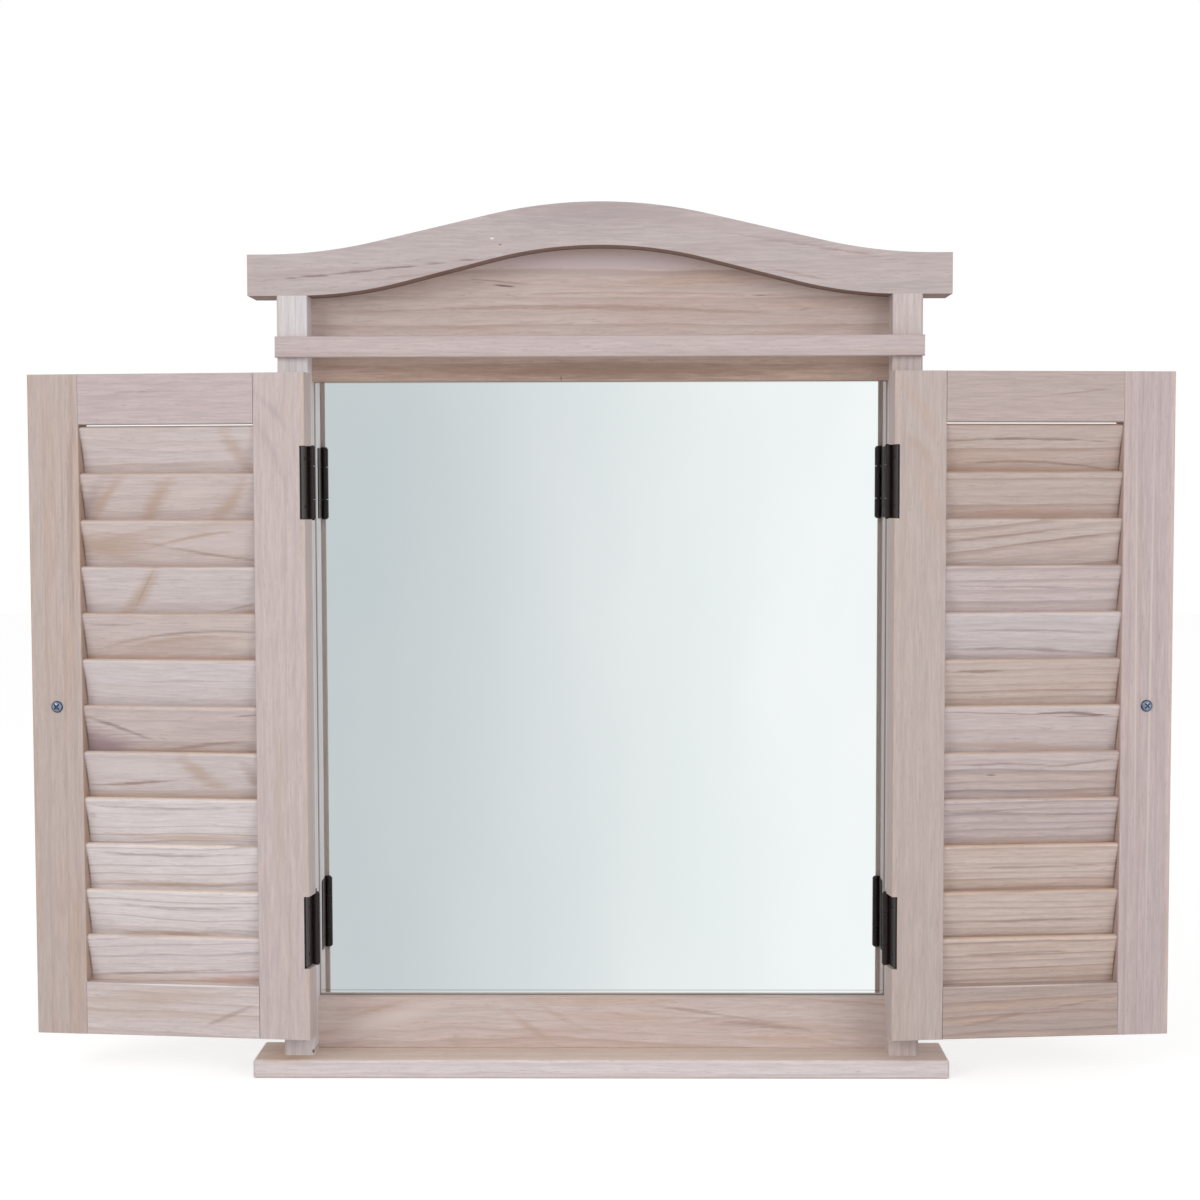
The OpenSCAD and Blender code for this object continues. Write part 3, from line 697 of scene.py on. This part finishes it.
# %% Shutter rails
dress_board("left_top_rail", level_axes("left"), seed=27.0, pale=tone(198, 182, 182), warm=ROSE, ring=6.0,
            heart=(-44.0, -30.0), wander=1.6, contrast=0.12, warmth=0.35,
            marks=[streak(-22.0, 4.0, 30.0, 0.8, 2.0, paint=BROWN, strength=0.3, fray=3.0)])
dress_board("right_top_rail", level_axes("right"), seed=29.0, pale=tone(188, 171, 167), warm=ROSE,
            ring=6.0, heart=(-44.0, -30.0), wander=1.6, contrast=0.16, warmth=0.4,
            marks=[streak(22.0, 2.0, 36.0, 0.8, 6.0, paint=BROWN, strength=0.45, fray=1.6)])
dress_board("left_low_rail", level_axes("left"), seed=31.0, pale=tone(211, 198, 196), warm=TAN, ring=6.0,
            heart=(-30.0, 14.0), tilt=0.05, wander=3.0, contrast=0.25, warmth=0.35,
            marks=[cloud(-6.0, 8.0, 60.0, 6.0, 3.0, tone(196, 176, 164), 0.6),
                   streak(36.0, -2.0, 22.0, 1.8, 24.0, paint=BROWN, strength=0.4),
                   # Painted light: a pale line along the top edge, where light comes through under the
                   # last slat
                   streak(12.0, 15.4, 55.0, 0.7, paint=PALE_CHIP_AND_GAP_LIGHT, strength=0.8, fray=0.6)])
dress_board("right_low_rail", level_axes("right"), seed=33.0, pale=tone(181, 163, 157), warm=TAN,
            late=tone(144, 118, 108), ring=5.0, heart=(-30.0, 14.0), tilt=0.05, rise=0.05, wander=3.5,
            contrast=0.5, warmth=0.6,
            marks=[streak(-20.0, -4.0, 26.0, 1.4, 12.0, paint=BROWN, strength=0.5, fray=2.6),
                   streak(24.0, 3.0, 28.0, 1.2, 10.0, paint=BROWN, strength=0.45, fray=2.6),
                   # Painted light: a pale line along the top edge, where light comes through under the
                   # last slat
                   streak(-10.0, 15.4, 55.0, 0.6, paint=SAP_AND_GAP_LIGHT, strength=0.6, fray=0.8)])
print("dressed so far:", len(dressed))

# %% [markdown]
# ## The slats
#
# Twelve thin slats fill each shutter, and no two come from the same board. Four plain stocks give the
# tones: frosty, ash, rosy and tan. Wavy isn't a stock but a figure, which is laid over one. Then each
# slat has marks of its own, listed from the top down. The left slats were sawn from near the heart of a
# log, so they show cathedrals, slanting bands and tongues. The right ones come from its side, and are
# mostly straight.

# %% Slat stocks
FROSTY = {"pale": tone(227, 218, 217), "warm": tone(214, 198, 190), "late": MAUVE, "contrast": 0.5,
          "warmth": 0.3}
ASHEN = {"pale": tone(211, 199, 198), "warm": tone(202, 181, 169), "late": tone(166, 144, 136),
         "contrast": 0.3, "warmth": 0.4}
ROSY = {"pale": tone(207, 192, 189), "warm": tone(199, 173, 160), "late": BROWN, "contrast": 0.4,
        "warmth": 0.5}
TANNED = {"pale": tone(204, 187, 179), "warm": tone(196, 168, 152), "late": BROWN, "contrast": 0.5,
          "warmth": 0.6}
PEACH = tone(198, 164, 146)
LOW_EDGE = (-7.0, -13.0)
WAVY = {"ring": 4.6, "bow": 1.5, "wander": 3.6, "early": 0.7, "contrast": 0.55,
        "late": tone(170, 156, 158)}
print("a year in a wavy slat is", WAVY["ring"], "mm wide")

# %% Left slats
LEFT_SLATS = [
    dict(ASHEN, contrast=0.25, wander=4.0, marks=[
        band(42.0, 0.0, 28.0, 6.8, -58.0, 60.0, DUN, 0.5),
        cloud(54.0, 6.0, 10.0, 8.0, 0.0, SAP_AND_GAP_LIGHT, 0.35),
        streak(-20.0, 2.0, 40.0, 0.9, -3.0, paint=MAUVE, strength=0.45, fray=2.4)]),
    dict(ROSY, contrast=0.15, warmth=0.15, marks=[
        cloud(-50.0, -3.0, 26.0, 8.0, 56.0, tone(170, 148, 146), 0.7),
        band(-40.0, 1.0, 28.0, 5.0, 54.0, -60.0, DUN, 0.75),
        band(-8.0, 0.0, 28.0, 7.2, 56.0, -70.0, DUN, 0.75),
        band(37.0, -3.0, 28.0, 6.4, 46.0, 110.0, DUN, 0.7),
        cloud(14.0, 4.0, 20.0, 9.0, 20.0, SAP_AND_GAP_LIGHT, 0.25)]),
    dict(ROSY, contrast=0.4, warmth=0.2, late=DUN, ring=9.0, heart=(-1.0, -9.0), tilt=0.15, wander=2.0,
         marks=[
        cloud(-40.0, 1.0, 46.0, 11.0, 2.0, DUN, 0.75),
        cloud(34.0, 1.5, 44.0, 8.0, -2.0, ASH, 0.55),
        streak(18.0, 6.5, 40.0, 1.6, 10.0, -20.0, DUN, 0.8, 1.4, 0.9),
        streak(22.0, -4.5, 44.0, 1.6, -9.0, 10.0, BROWN, 0.55, 1.4, 0.9)]),
    dict(ASHEN, contrast=0.15, warmth=0.15, marks=[
        band(-18.0, -1.0, 28.0, 6.6, 50.0, 70.0, DUN, 0.75),
        streak(-15.0, 4.0, 20.0, 1.2, 60.0, 0.0, BROWN, 0.3, 1.6, 0.95),
        cloud(50.0, -13.0, 24.0, 6.0, 12.0, PEACH, 0.7),
        streak(44.0, -8.5, 22.0, 1.0, 14.0, paint=BROWN, strength=0.4, soft=0.9)]),
    dict(ROSY, contrast=0.2, warmth=0.3, glow=LOW_EDGE, marks=[
        cloud(0.0, -4.0, 66.0, 8.0, 2.0, DUN, 0.5),
        streak(10.0, 4.5, 66.0, 1.6, 4.6, -20.0, BROWN, 0.6, 1.4, 0.9),
        streak(10.0, 1.0, 62.0, 1.8, 4.6, -24.0, DUN, 0.7, 1.4, 0.9),
        streak(-36.0, 9.0, 20.0, 1.2, -3.0, paint=BROWN, strength=0.4, fray=2.0, soft=0.9),
        cloud(46.0, -3.0, 16.0, 5.0, 0.0, SAP_AND_GAP_LIGHT, 0.4)]),
    dict(FROSTY, pale=tone(214, 204, 204), contrast=0.2, ring=5.0, marks=[
        streak(10.0, 3.0, 50.0, 0.9, 1.0, paint=MAUVE, strength=0.4, fray=2.4)]),
    dict(ROSY, contrast=0.25, warmth=0.3, glow=(-9.0, -13.5), marks=[
        cloud(-46.0, -8.0, 36.0, 13.0, -14.0, tone(164, 140, 146), 0.9),
        streak(-34.0, 3.0, 28.0, 1.8, -20.0, -16.0, UMBER, 0.55, 1.4, 0.9),
        streak(18.0, -8.5, 36.0, 1.8, 8.0, -14.0, BROWN, 0.6, 1.6, 0.9),
        cloud(30.0, 3.0, 40.0, 5.0, 4.0, MAUVE, 0.5),
        cloud(-6.0, -13.0, 40.0, 4.0, 0.0, DUN, 0.6),
        streak(48.0, 11.0, 13.0, 0.8, 4.0, paint=UMBER, strength=0.6)]),
    dict(ASHEN, contrast=0.2, warmth=0.3, glow=LOW_EDGE, marks=[
        cloud(-26.0, 6.0, 44.0, 8.0, 0.0, tone(220, 208, 206), 0.6),
        band(17.0, 3.0, 28.0, 7.4, -40.0, 70.0, DUN, 0.62),
        streak(-22.0, -3.5, 36.0, 1.6, 4.0, 6.0, BROWN, 0.8, 1.6, 0.9),
        cloud(51.0, 0.0, 18.0, 6.0, -54.0, BROWN, 0.4)]),
    dict(FROSTY, pale=tone(224, 215, 214), **{**WAVY, "bow": 3.0}, marks=[
        band(6.0, -9.0, 60.0, 3.0, 0.0, 8.0, HONEY, 0.6),
        streak(-4.0, 10.0, 62.0, 1.3, 0.0, 8.0, SMOKE, 0.55, 1.6, 0.9),
        streak(-50.0, 5.0, 3.0, 3.0, 90.0, 0.0, MAUVE)]),
    dict(FROSTY, **WAVY, marks=[
        band(0.0, -10.0, 64.0, 2.6, 0.0, 7.0, DUN, 0.8),
        streak(-4.0, 9.5, 62.0, 1.4, 0.0, 8.0, SMOKE, 0.6, 1.6, 0.9)]),
    dict(FROSTY, **WAVY, marks=[
        band(0.0, -12.0, 64.0, 2.4, 0.0, 8.0, DUN, 0.8),
        streak(4.0, 5.0, 62.0, 1.4, -1.0, 12.0, SMOKE, 0.55, 1.6, 0.9)]),
    dict(FROSTY, pale=tone(222, 211, 210), ring=5.0, rise=0.03, wander=3.0, late=SMOKE, early=0.65,
         contrast=0.5, glow=(-9.0, -14.0), marks=[
        streak(-10.0, -8.0, 55.0, 1.4, 4.0, 0.0, BROWN, 0.45, 1.6, 0.9),
        cloud(36.0, -12.0, 44.0, 4.0, 3.0, PEACH, 0.7)]),
]
print("left slats:", len(LEFT_SLATS))

# %% Right slats
RIGHT_SLATS = [
    dict(TANNED, pale=tone(197, 180, 173), ring=6.0, glow=LOW_EDGE, marks=[
        streak(0.0, 7.5, 66.0, 1.1, -0.5, -5.0, UMBER, 0.55, 1.8),
        cloud(-20.0, -13.0, 60.0, 2.6, 0.0, PEACH, 0.5),
        streak(6.0, -7.0, 64.0, 1.1, -3.0, -12.0, tone(140, 112, 100), 0.5, 1.8)]),
    dict(TANNED, pale=tone(197, 181, 174), ring=4.5, wander=1.4, warmth=0.3, marks=[
        cloud(0.0, -9.0, 90.0, 5.0, 0.0, tone(184, 148, 132), 0.6)]),
    dict(TANNED, pale=tone(202, 186, 181), ring=6.5, rise=0.09, wander=3.4, contrast=0.5, marks=[
        streak(-16.0, 6.0, 44.0, 1.0, 6.0, paint=BROWN, strength=0.6, fray=1.8),
        streak(6.0, 2.0, 58.0, 1.0, 7.0, paint=BROWN, strength=0.5, fray=1.8)]),
    dict(ASHEN, pale=tone(207, 193, 192), ring=6.0, wander=1.4, contrast=0.5, late=SMOKE, marks=[
        streak(0.0, 3.0, 60.0, 0.9, -1.0, paint=SMOKE, strength=0.5, fray=2.2)]),
    dict(FROSTY, pale=tone(208, 197, 198), ring=9.0, bow=-5.0, wander=1.6, contrast=0.4, marks=[
        streak(0.0, 5.0, 62.0, 1.2, -1.5, -5.0, SMOKE, 0.6, 1.8, 0.9),
        streak(0.0, -7.0, 62.0, 1.4, -2.0, -6.0, SMOKE, 0.75, 1.8, 0.9)]),
    dict(TANNED, ring=3.8, wander=1.6, late=tone(150, 128, 116), marks=[
        streak(-36.0, 9.0, 20.0, 1.2, 0.0, paint=tone(140, 122, 106), strength=0.6, fray=2.6),
        cloud(20.0, -12.0, 60.0, 2.0, 0.0, PEACH, 0.4)]),
    dict(ASHEN, pale=tone(207, 193, 191), ring=8.0, wander=1.6, warmth=0.2, marks=[
        streak(28.0, 11.5, 34.0, 1.3, -3.0, -20.0, UMBER, 0.65, 1.8),
        streak(-24.0, 12.0, 34.0, 0.8, -2.0, paint=BROWN, strength=0.5, fray=1.8),
        streak(34.0, 9.5, 22.0, 0.7, 2.0, 20.0, paint=UMBER, strength=0.45, fray=1.8),
        cloud(0.0, -10.0, 62.0, 3.0, -3.0, TAN, 0.6)]),
    dict(ROSY, ring=5.0, wander=3.4, late=SMOKE, contrast=0.7, marks=[
        streak(-20.0, 9.0, 44.0, 1.2, 0.0, -8.0, SMOKE, 0.7, 1.8),
        cloud(30.0, -11.0, 34.0, 2.6, 0.0, PEACH, 0.5),
        streak(32.0, 9.0, 26.0, 1.1, 7.0, 8.0, BROWN, 0.5, 1.8),
        streak(-24.0, 2.0, 4.0, 0.8, 0.0, paint=UMBER, strength=0.6)]),
    dict(ROSY, pale=tone(202, 187, 185), ring=4.0, wander=3.4, late=tone(140, 126, 128), contrast=0.75,
         glow=(-9.0, -14.0), marks=[
        streak(-30.0, 8.0, 28.0, 1.8, -1.0, paint=SMOKE, strength=0.7, fray=2.8),
        streak(26.0, 6.0, 30.0, 1.2, 1.0, paint=SMOKE, strength=0.6, fray=3.0),
        cloud(-14.0, 1.0, 34.0, 3.0, 0.0, MAUVE, 0.5)]),
    dict(TANNED, pale=tone(212, 195, 187), ring=4.4, wander=1.6, marks=[
        streak(4.0, 2.0, 60.0, 1.0, 0.6, paint=BROWN, strength=0.5, fray=2.0),
        cloud(10.0, -10.0, 60.0, 2.6, 2.0, PEACH, 0.35)]),
    dict(TANNED, pale=tone(211, 194, 186), ring=3.8, wander=1.4, marks=[
        streak(0.0, -3.0, 60.0, 1.1, 1.0, paint=tone(146, 130, 112), strength=0.5, fray=1.8)]),
    dict(TANNED, pale=tone(210, 192, 183), ring=3.6, wander=1.6, contrast=0.6, rise=0.01, marks=[
        streak(-10.0, 6.0, 55.0, 1.0, 1.5, paint=UMBER, strength=0.35, fray=1.8)]),
]
print("right slats:", len(RIGHT_SLATS))

# %% [markdown]
# ## Into the shutters
#
# A slat's outer end sits in a groove of the stile, and shade falls in the gap where the two meet. That
# painted shadow is one more mark, the same on every slat. The slats' planed edges are tinted a little
# warmer than their faces.

# %% Slats
GROOVE_X = 53.6
# Painted shadow in the groove at each slat's outer end
GROOVE_SHADOW_TONE = tone(112, 92, 82)
SLAT_EDGE = tone(255, 243, 227)
SLAT_SEEDS = {"left": 40.0, "right": 60.0}


def painted_groove_shadow(side):
    """Painted shadow in the gap between a slat's outer end and the groove that holds it"""
    return streak(OUT[side] * GROOVE_X, -2.0, 1.0, 17.0, 0.0, 0.0, GROOVE_SHADOW_TONE, 0.75, 0.5, 0.8)


for side, figures in (("left", LEFT_SLATS), ("right", RIGHT_SLATS)):
    for number, figure in enumerate(figures, 1):
        figure["marks"].append(painted_groove_shadow(side))
        dress_board(f"{side}_slat_{number:02d}", slat_axes(side), seed=SLAT_SEEDS[side] + number,
                    sides=SLAT_EDGE, **figure)
print("dressed so far:", len(dressed))

# %% [markdown]
# ## Knobs and dowels
#
# The knobs are turned from a creamy wood, with their grain running out of the shutter. The dowels are of
# the same wood, and lie level inside the joints.

# %% Turned wood
OUTWARD_AXES = (Vector((0, 1, 0)), RIGHT, Vector((0, 1, 0)).cross(RIGHT))
for name, seed in (("left_knob", 89.0), ("right_knob", 90.0)):
    dress_board(name, OUTWARD_AXES, seed=seed, pale=CREAM, warm=HONEY, ring=3.2, heart=(5.0, 12.0),
                wander=1.0, contrast=0.35)
dress_board("rail_dowels", level_axes(), seed=83.0, pale=CREAM, warm=HONEY, ring=2.5, heart=(4.0, 8.0),
            wander=0.6)
print("dressed so far:", len(dressed))

# %% [markdown]
# ## Metal
#
# The hinges are stamped steel under a coat of dark bronze, which hides the metal, so they are finished
# as a paint, rubbed lighter along the edges. The other screws, the pins and the hanger plates are zinc
# plated, with the blue cast of the bath. In the knobs' screws, painted shade darkens the cross and the
# rim round the head, so their metal also asks how deep a point lies below the crown.

# %% Metals
# Painted shade in the cross and round the rim of the knobs' screws
RECESS_SHADE = tone(30, 42, 66)
RECESS_SHADE_DEPTHS = (0.5, 1.2)
RUBBED_RADIUS = 0.5 * MM


def metal_material(name, base, worn, metallic, roughness, shine, grain, seed, sunk=None):
    """A finish with blotches, as many to a metre as grain says, and rubbed edges. Sunk, if given, is the
    direction into the piece and how far along it the crown lies, and painted shade darkens what is deeper"""
    material, tree, shader = new_material(name)
    shader.inputs["Metallic"].default_value = metallic
    shader.inputs["Specular IOR Level"].default_value = shine
    where = tree.nodes.new("ShaderNodeTexCoord").outputs["Object"]
    fine = stretch(tree, where, (grain, grain, grain))
    blotch = noise(tree, fine, seed, detail=4.0, roughness=0.6)
    edge = place_group(tree, edge_wear_and_highlight, {"Vector": fine, "Radius": RUBBED_RADIUS, "Patches": seed})
    rubbed = Signal(tree, edge.outputs[0]) * 0.6 + blotch.ramp(0.45, 0.75) * 0.25
    colour = blend(tree, rubbed, base, worn)
    if sunk:
        inward, crown = sunk
        dot = add_node(tree, "ShaderNodeVectorMath", {0: where, 1: inward}, operation="DOT_PRODUCT")
        below = (Signal(tree, dot.outputs["Value"]) - crown) / MM
        colour = blend(tree, below.ramp(*RECESS_SHADE_DEPTHS) * 0.9, colour, RECESS_SHADE)
    rough = blotch.ramp(0.2, 0.8, roughness - 0.08, roughness + 0.12)
    finish_shader(tree, shader, colour, rough, blotch, depth=0.05, strength=0.25)
    return material


bronzed = metal_material("bronzed steel", tone(32, 19, 17), tone(84, 68, 62), metallic=0.0, roughness=0.36,
                         shine=0.3, grain=900.0, seed=1.0)
zinc = metal_material("zinc plate", tone(148, 160, 182), tone(214, 220, 230), metallic=1.0, roughness=0.26,
                      shine=0.5, grain=700.0, seed=2.0)
BRONZED = ("hinge_pins", "left_post_leaves", "right_post_leaves", "left_shutter_leaves",
           "right_shutter_leaves", "left_leaf_screws", "right_leaf_screws", "post_leaf_screws")
ZINC_PLATED = ("backing_brads", "cornice_screws", "hanger_plates", "hanger_screws", "sill_screws",
               "strip_brads")
for name in BRONZED:
    dress(name, bronzed)
for name in ZINC_PLATED:
    dress(name, zinc)
print("bronzed:", len(BRONZED), "and zinc plated:", len(ZINC_PLATED))

# %% Knob screws
for side in ("left", "right"):
    name = f"{side}_knob_screw"
    inward = upright_axes(side)[2]
    crown = min(vertex.co.dot(inward) for vertex in nodes[name].data.vertices)
    recess_shaded_zinc = metal_material(f"{side} knob screw", tone(132, 144, 164), tone(206, 214, 226),
                                 metallic=1.0, roughness=0.3, shine=0.5, grain=700.0, seed=3.0,
                                 sunk=(inward, crown))
    dress(name, recess_shaded_zinc)
print("dressed so far:", len(dressed))

# %% [markdown]
# ## Mirror and backing
#
# The mirror is silvered glass, which at this size acts as a plain metal with almost no roughness. Faint
# wiping marks change its tone and its roughness a little, and a painted shadow line runs round it where
# the glass meets the wood, with a fainter painted reflection of its bottom stretch. The backing is brown
# hardboard, pressed from short fibres.

# %% Mirror
# Painted shadow where the glass meets the wood, and its painted reflection
PAINTED_SHADOW_WIDTH = 1.3 * MM
PAINTED_SHADOW_TONE = tone(84, 76, 74)
REFLECTED_SHADOW_RISE = 3.0 * MM
REFLECTED_SHADOW_HALF = 0.7 * MM
DULL_SILVER = tone(240, 245, 244)
BRIGHT_SILVER = tone(246, 249, 248)
WIPES = (9.0, 9.0, 4.0)
MIRROR_SEED = 4.0
sight_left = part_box("bottom_rail")[0].x
sight_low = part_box("bottom_rail")[1].z
sight_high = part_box("header_panel")[0].z
print("mirror in sight:", round(-2 * sight_left / MM), "by", round((sight_high - sight_low) / MM), "mm")


def painted_shadow_line(tree, where):
    """Painted shadow: one along the sides and the bottom of what shows of the mirror, and a half along its
    top. The silver lies behind the glass, so a painted reflection shows the bottom line a second time,
    fainter and higher up"""
    x, z = parts_of(tree, where)[::2]
    sides = x.math("ABSOLUTE").ramp(-sight_left - PAINTED_SHADOW_WIDTH, -sight_left)
    low = z.ramp(sight_low, sight_low + PAINTED_SHADOW_WIDTH, 1.0, 0.0)
    reflected_shadow = (z - sight_low - REFLECTED_SHADOW_RISE).math("ABSOLUTE").ramp(0.0, REFLECTED_SHADOW_HALF, 0.4, 0.0)
    high = z.ramp(sight_high - PAINTED_SHADOW_WIDTH, sight_high, 0.0, 0.5)
    return sides.math("MAXIMUM", low).math("MAXIMUM", high).math("MAXIMUM", reflected_shadow)


def make_mirror():
    material, tree, shader = new_material("silvered glass")
    shader.inputs["Metallic"].default_value = 1.0
    where = tree.nodes.new("ShaderNodeTexCoord").outputs["Object"]
    wipe = noise(tree, stretch(tree, where, WIPES), MIRROR_SEED, detail=3.0)
    colour = blend(tree, wipe.ramp(0.3, 0.7), DULL_SILVER, BRIGHT_SILVER)
    # Painted shadow line round the glass
    colour = blend(tree, painted_shadow_line(tree, where) * 0.8, colour, PAINTED_SHADOW_TONE)
    feed(tree, shader.inputs["Base Color"], colour)
    feed(tree, shader.inputs["Roughness"], wipe.ramp(0.4, 0.75, 0.0, 0.02))
    return material


dress("mirror_glass", make_mirror())

# %% Hardboard
PRESSED_FIBRES = (600.0, 600.0, 600.0)
WIDE_PATCHES = (18.0, 18.0, 18.0)
FIBRE_SEED = 6.0
PATCH_SEED = 7.0


def make_hardboard():
    material, tree, shader = new_material("hardboard")
    where = tree.nodes.new("ShaderNodeTexCoord").outputs["Object"]
    fibres = noise(tree, stretch(tree, where, PRESSED_FIBRES), FIBRE_SEED, detail=4.0, roughness=0.7)
    patches = noise(tree, stretch(tree, where, WIDE_PATCHES), PATCH_SEED, detail=3.0)
    colour = blend(tree, fibres.ramp(0.3, 0.7), tone(128, 96, 70), tone(164, 128, 96))
    colour = blend(tree, patches.ramp(0.35, 0.7) * 0.5, colour, tone(112, 82, 60))
    rough = fibres.ramp(0.2, 0.8, 0.55, 0.85)
    finish_shader(tree, shader, colour, rough, fibres, depth=0.15, strength=0.4)
    return material


dress("backing_board", make_hardboard())
print("left undressed:", sorted(set(nodes) - set(dressed)))

# %% [markdown]
# ## The camera
#
# The photograph was taken from straight in front with a long lens, a little above the middle and tipped
# slightly down. The lens is shifted so that the frame sits where it does in the picture. The angles are
# in radians, the sensor and the lens in millimetres.

# %% Camera
CAMERA_PLACE = Vector((22.9, -1556.4, -95.1)) * MM
YAW = 0.0151
PITCH = 0.0695
ROLL = -0.0022
SENSOR = 36.0
LENS = 75.99
SHIFT_UP = 0.0599

forward = Vector((-math.sin(YAW) * math.cos(PITCH), math.cos(YAW) * math.cos(PITCH), -math.sin(PITCH)))
level = Vector((math.cos(YAW), math.sin(YAW), 0))
upward = level.cross(forward)
right = level * math.cos(ROLL) + upward * math.sin(ROLL)

lens = bpy.data.cameras.new("front view")
lens.sensor_width = SENSOR
lens.lens = LENS
lens.shift_y = SHIFT_UP
camera = bpy.data.objects.new("front view", lens)
camera.matrix_world = Matrix((right, right.cross(forward), -forward)).transposed().to_4x4()
camera.location = CAMERA_PLACE
bpy.context.scene.collection.objects.link(camera)
bpy.context.scene.camera = camera
print("camera stands", round(-camera.location.y, 2), "m in front of the wall")

# %% [markdown]
# ## The studio
#
# Light should show the wood's own colours, so it is soft and comes from nearly everywhere: a dim white
# sky, and one large lamp at either side, in front. What the camera sees behind the frame is white,
# through a Light Path node, and that costs the wood nothing. The floor keeps a soft shadow.

# %% World
SKY = 0.64
WHITE = (1.0, 1.0, 1.0, 1.0)


def make_world():
    world = bpy.data.worlds.new("white studio")
    bpy.context.scene.world = world
    world.use_nodes = True
    tree = world.node_tree
    backdrop = tree.nodes["Background"]
    path = tree.nodes.new("ShaderNodeLightPath")
    seen = Signal(tree, path.outputs["Is Camera Ray"]) + path.outputs["Is Glossy Ray"]
    seen = (seen + path.outputs["Is Transmission Ray"]).math("MINIMUM", 1.0)
    feed(tree, backdrop.inputs["Strength"], seen * (1.0 - SKY) + SKY)
    backdrop.inputs["Color"].default_value = WHITE


make_world()
print("strength of the sky:", SKY)

# %% Helpers for the studio
def square_sheet(name, corner_a, corner_b, corner_c, corner_d):
    """A flat sheet that belongs to the studio, from its four corners in turn"""
    mesh = bpy.data.meshes.new(name)
    mesh.from_pydata([corner_a, corner_b, corner_c, corner_d], [], [(0, 1, 2, 3)])
    sheet = bpy.data.objects.new(name, mesh)
    bpy.context.scene.collection.objects.link(sheet)
    return sheet


def glowing(name, colour_of):
    """A material that only gives off light, whose colour comes from a function"""
    material, tree, painted = new_material(name)
    tree.nodes.remove(painted)
    shine = tree.nodes.new("ShaderNodeEmission")
    feed(tree, shine.inputs["Color"], colour_of(tree))
    tree.links.new(shine.outputs[0], tree.nodes["Material Output"].inputs["Surface"])
    return material


print("studio helpers ready")

# %% Floor
FLOOR_REACH = 6.0
FLOOR_LIFT = 0.5
floor_z = cad_box[0].z
floor = square_sheet("floor", (-FLOOR_REACH, -FLOOR_REACH, floor_z), (FLOOR_REACH, -FLOOR_REACH, floor_z),
                     (FLOOR_REACH, FLOOR_REACH, floor_z), (-FLOOR_REACH, FLOOR_REACH, floor_z))
floor.visible_glossy = False
floor_paint, floor_tree, floor_shader = new_material("pale floor")
floor_shader.inputs["Base Color"].default_value = tone(225, 225, 225)
floor_shader.inputs["Roughness"].default_value = 0.9
floor_shader.inputs["Specular IOR Level"].default_value = 0.0
floor_shader.inputs["Emission Color"].default_value = WHITE
floor_path = floor_tree.nodes.new("ShaderNodeLightPath")
feed(floor_tree, floor_shader.inputs["Emission Strength"],
     Signal(floor_tree, floor_path.outputs["Is Camera Ray"]) * FLOOR_LIFT)
floor.data.materials.append(floor_paint)
print("floor at", round(floor_z, 3), "m")

# %% [markdown]
# ## What the mirror sees
#
# A mirror has no colour of its own, only what stands in front of it. A large card behind the camera
# gives it something calm: cool grey on the left, running to white on the right. Only reflections show
# it, and it lights nothing.

# %% Mirror card
CARD_Y = -1.75
CARD_HALF = 3.0
DIM_X = -0.4
WHITE_X = 0.3


def card_colour(tree):
    where = tree.nodes.new("ShaderNodeTexCoord").outputs["Object"]
    x = parts_of(tree, where)[0]
    ramp = tree.nodes.new("ShaderNodeValToRGB")
    feed(tree, ramp.inputs[0], x.ramp(DIM_X, WHITE_X))
    ramp.color_ramp.elements[0].color = tone(206, 211, 214)
    ramp.color_ramp.elements[1].color = tone(253, 254, 255)
    return ramp.outputs[0]


card = square_sheet("card", (-CARD_HALF, CARD_Y, -CARD_HALF), (CARD_HALF, CARD_Y, -CARD_HALF),
                    (CARD_HALF, CARD_Y, CARD_HALF), (-CARD_HALF, CARD_Y, CARD_HALF))
card.data.materials.append(glowing("card", card_colour))
card.visible_camera = False
card.visible_diffuse = False
card.visible_shadow = False
card.visible_transmission = False
print("card behind the camera by", round(camera.location.y - CARD_Y, 2), "m")

# %% [markdown]
# ## Two lamps
#
# The sky alone would leave the wood flat. A large square lamp at either side gives each slat a lit face
# and a soft shadow under it. The left one is a little stronger and stands higher.

# %% Lamps
LAMP_WIDTH = 1.1
LAMPS_AIM = Vector((0, 0, -0.2))


def soft_lamp(name, place, power):
    light = bpy.data.lights.new(name, "AREA")
    light.shape = "SQUARE"
    light.size = LAMP_WIDTH
    light.energy = power
    lamp = bpy.data.objects.new(name, light)
    lamp.location = place
    lamp.rotation_euler = (LAMPS_AIM - Vector(place)).to_track_quat("-Z", "Y").to_euler()
    bpy.context.scene.collection.objects.link(lamp)


soft_lamp("left lamp", (-1.3, -1.7, 0.6), power=12.0)
soft_lamp("right lamp", (1.3, -1.8, 0.2), power=10.5)
print("lamps:", len(bpy.data.lights))

# %% [markdown]
# ## The last setting
#
# The finishes must not change the size of the model. Colours leave the render as they are, through the
# Standard view transform.

# %% Finish
bpy.context.scene.view_settings.view_transform = "Standard"
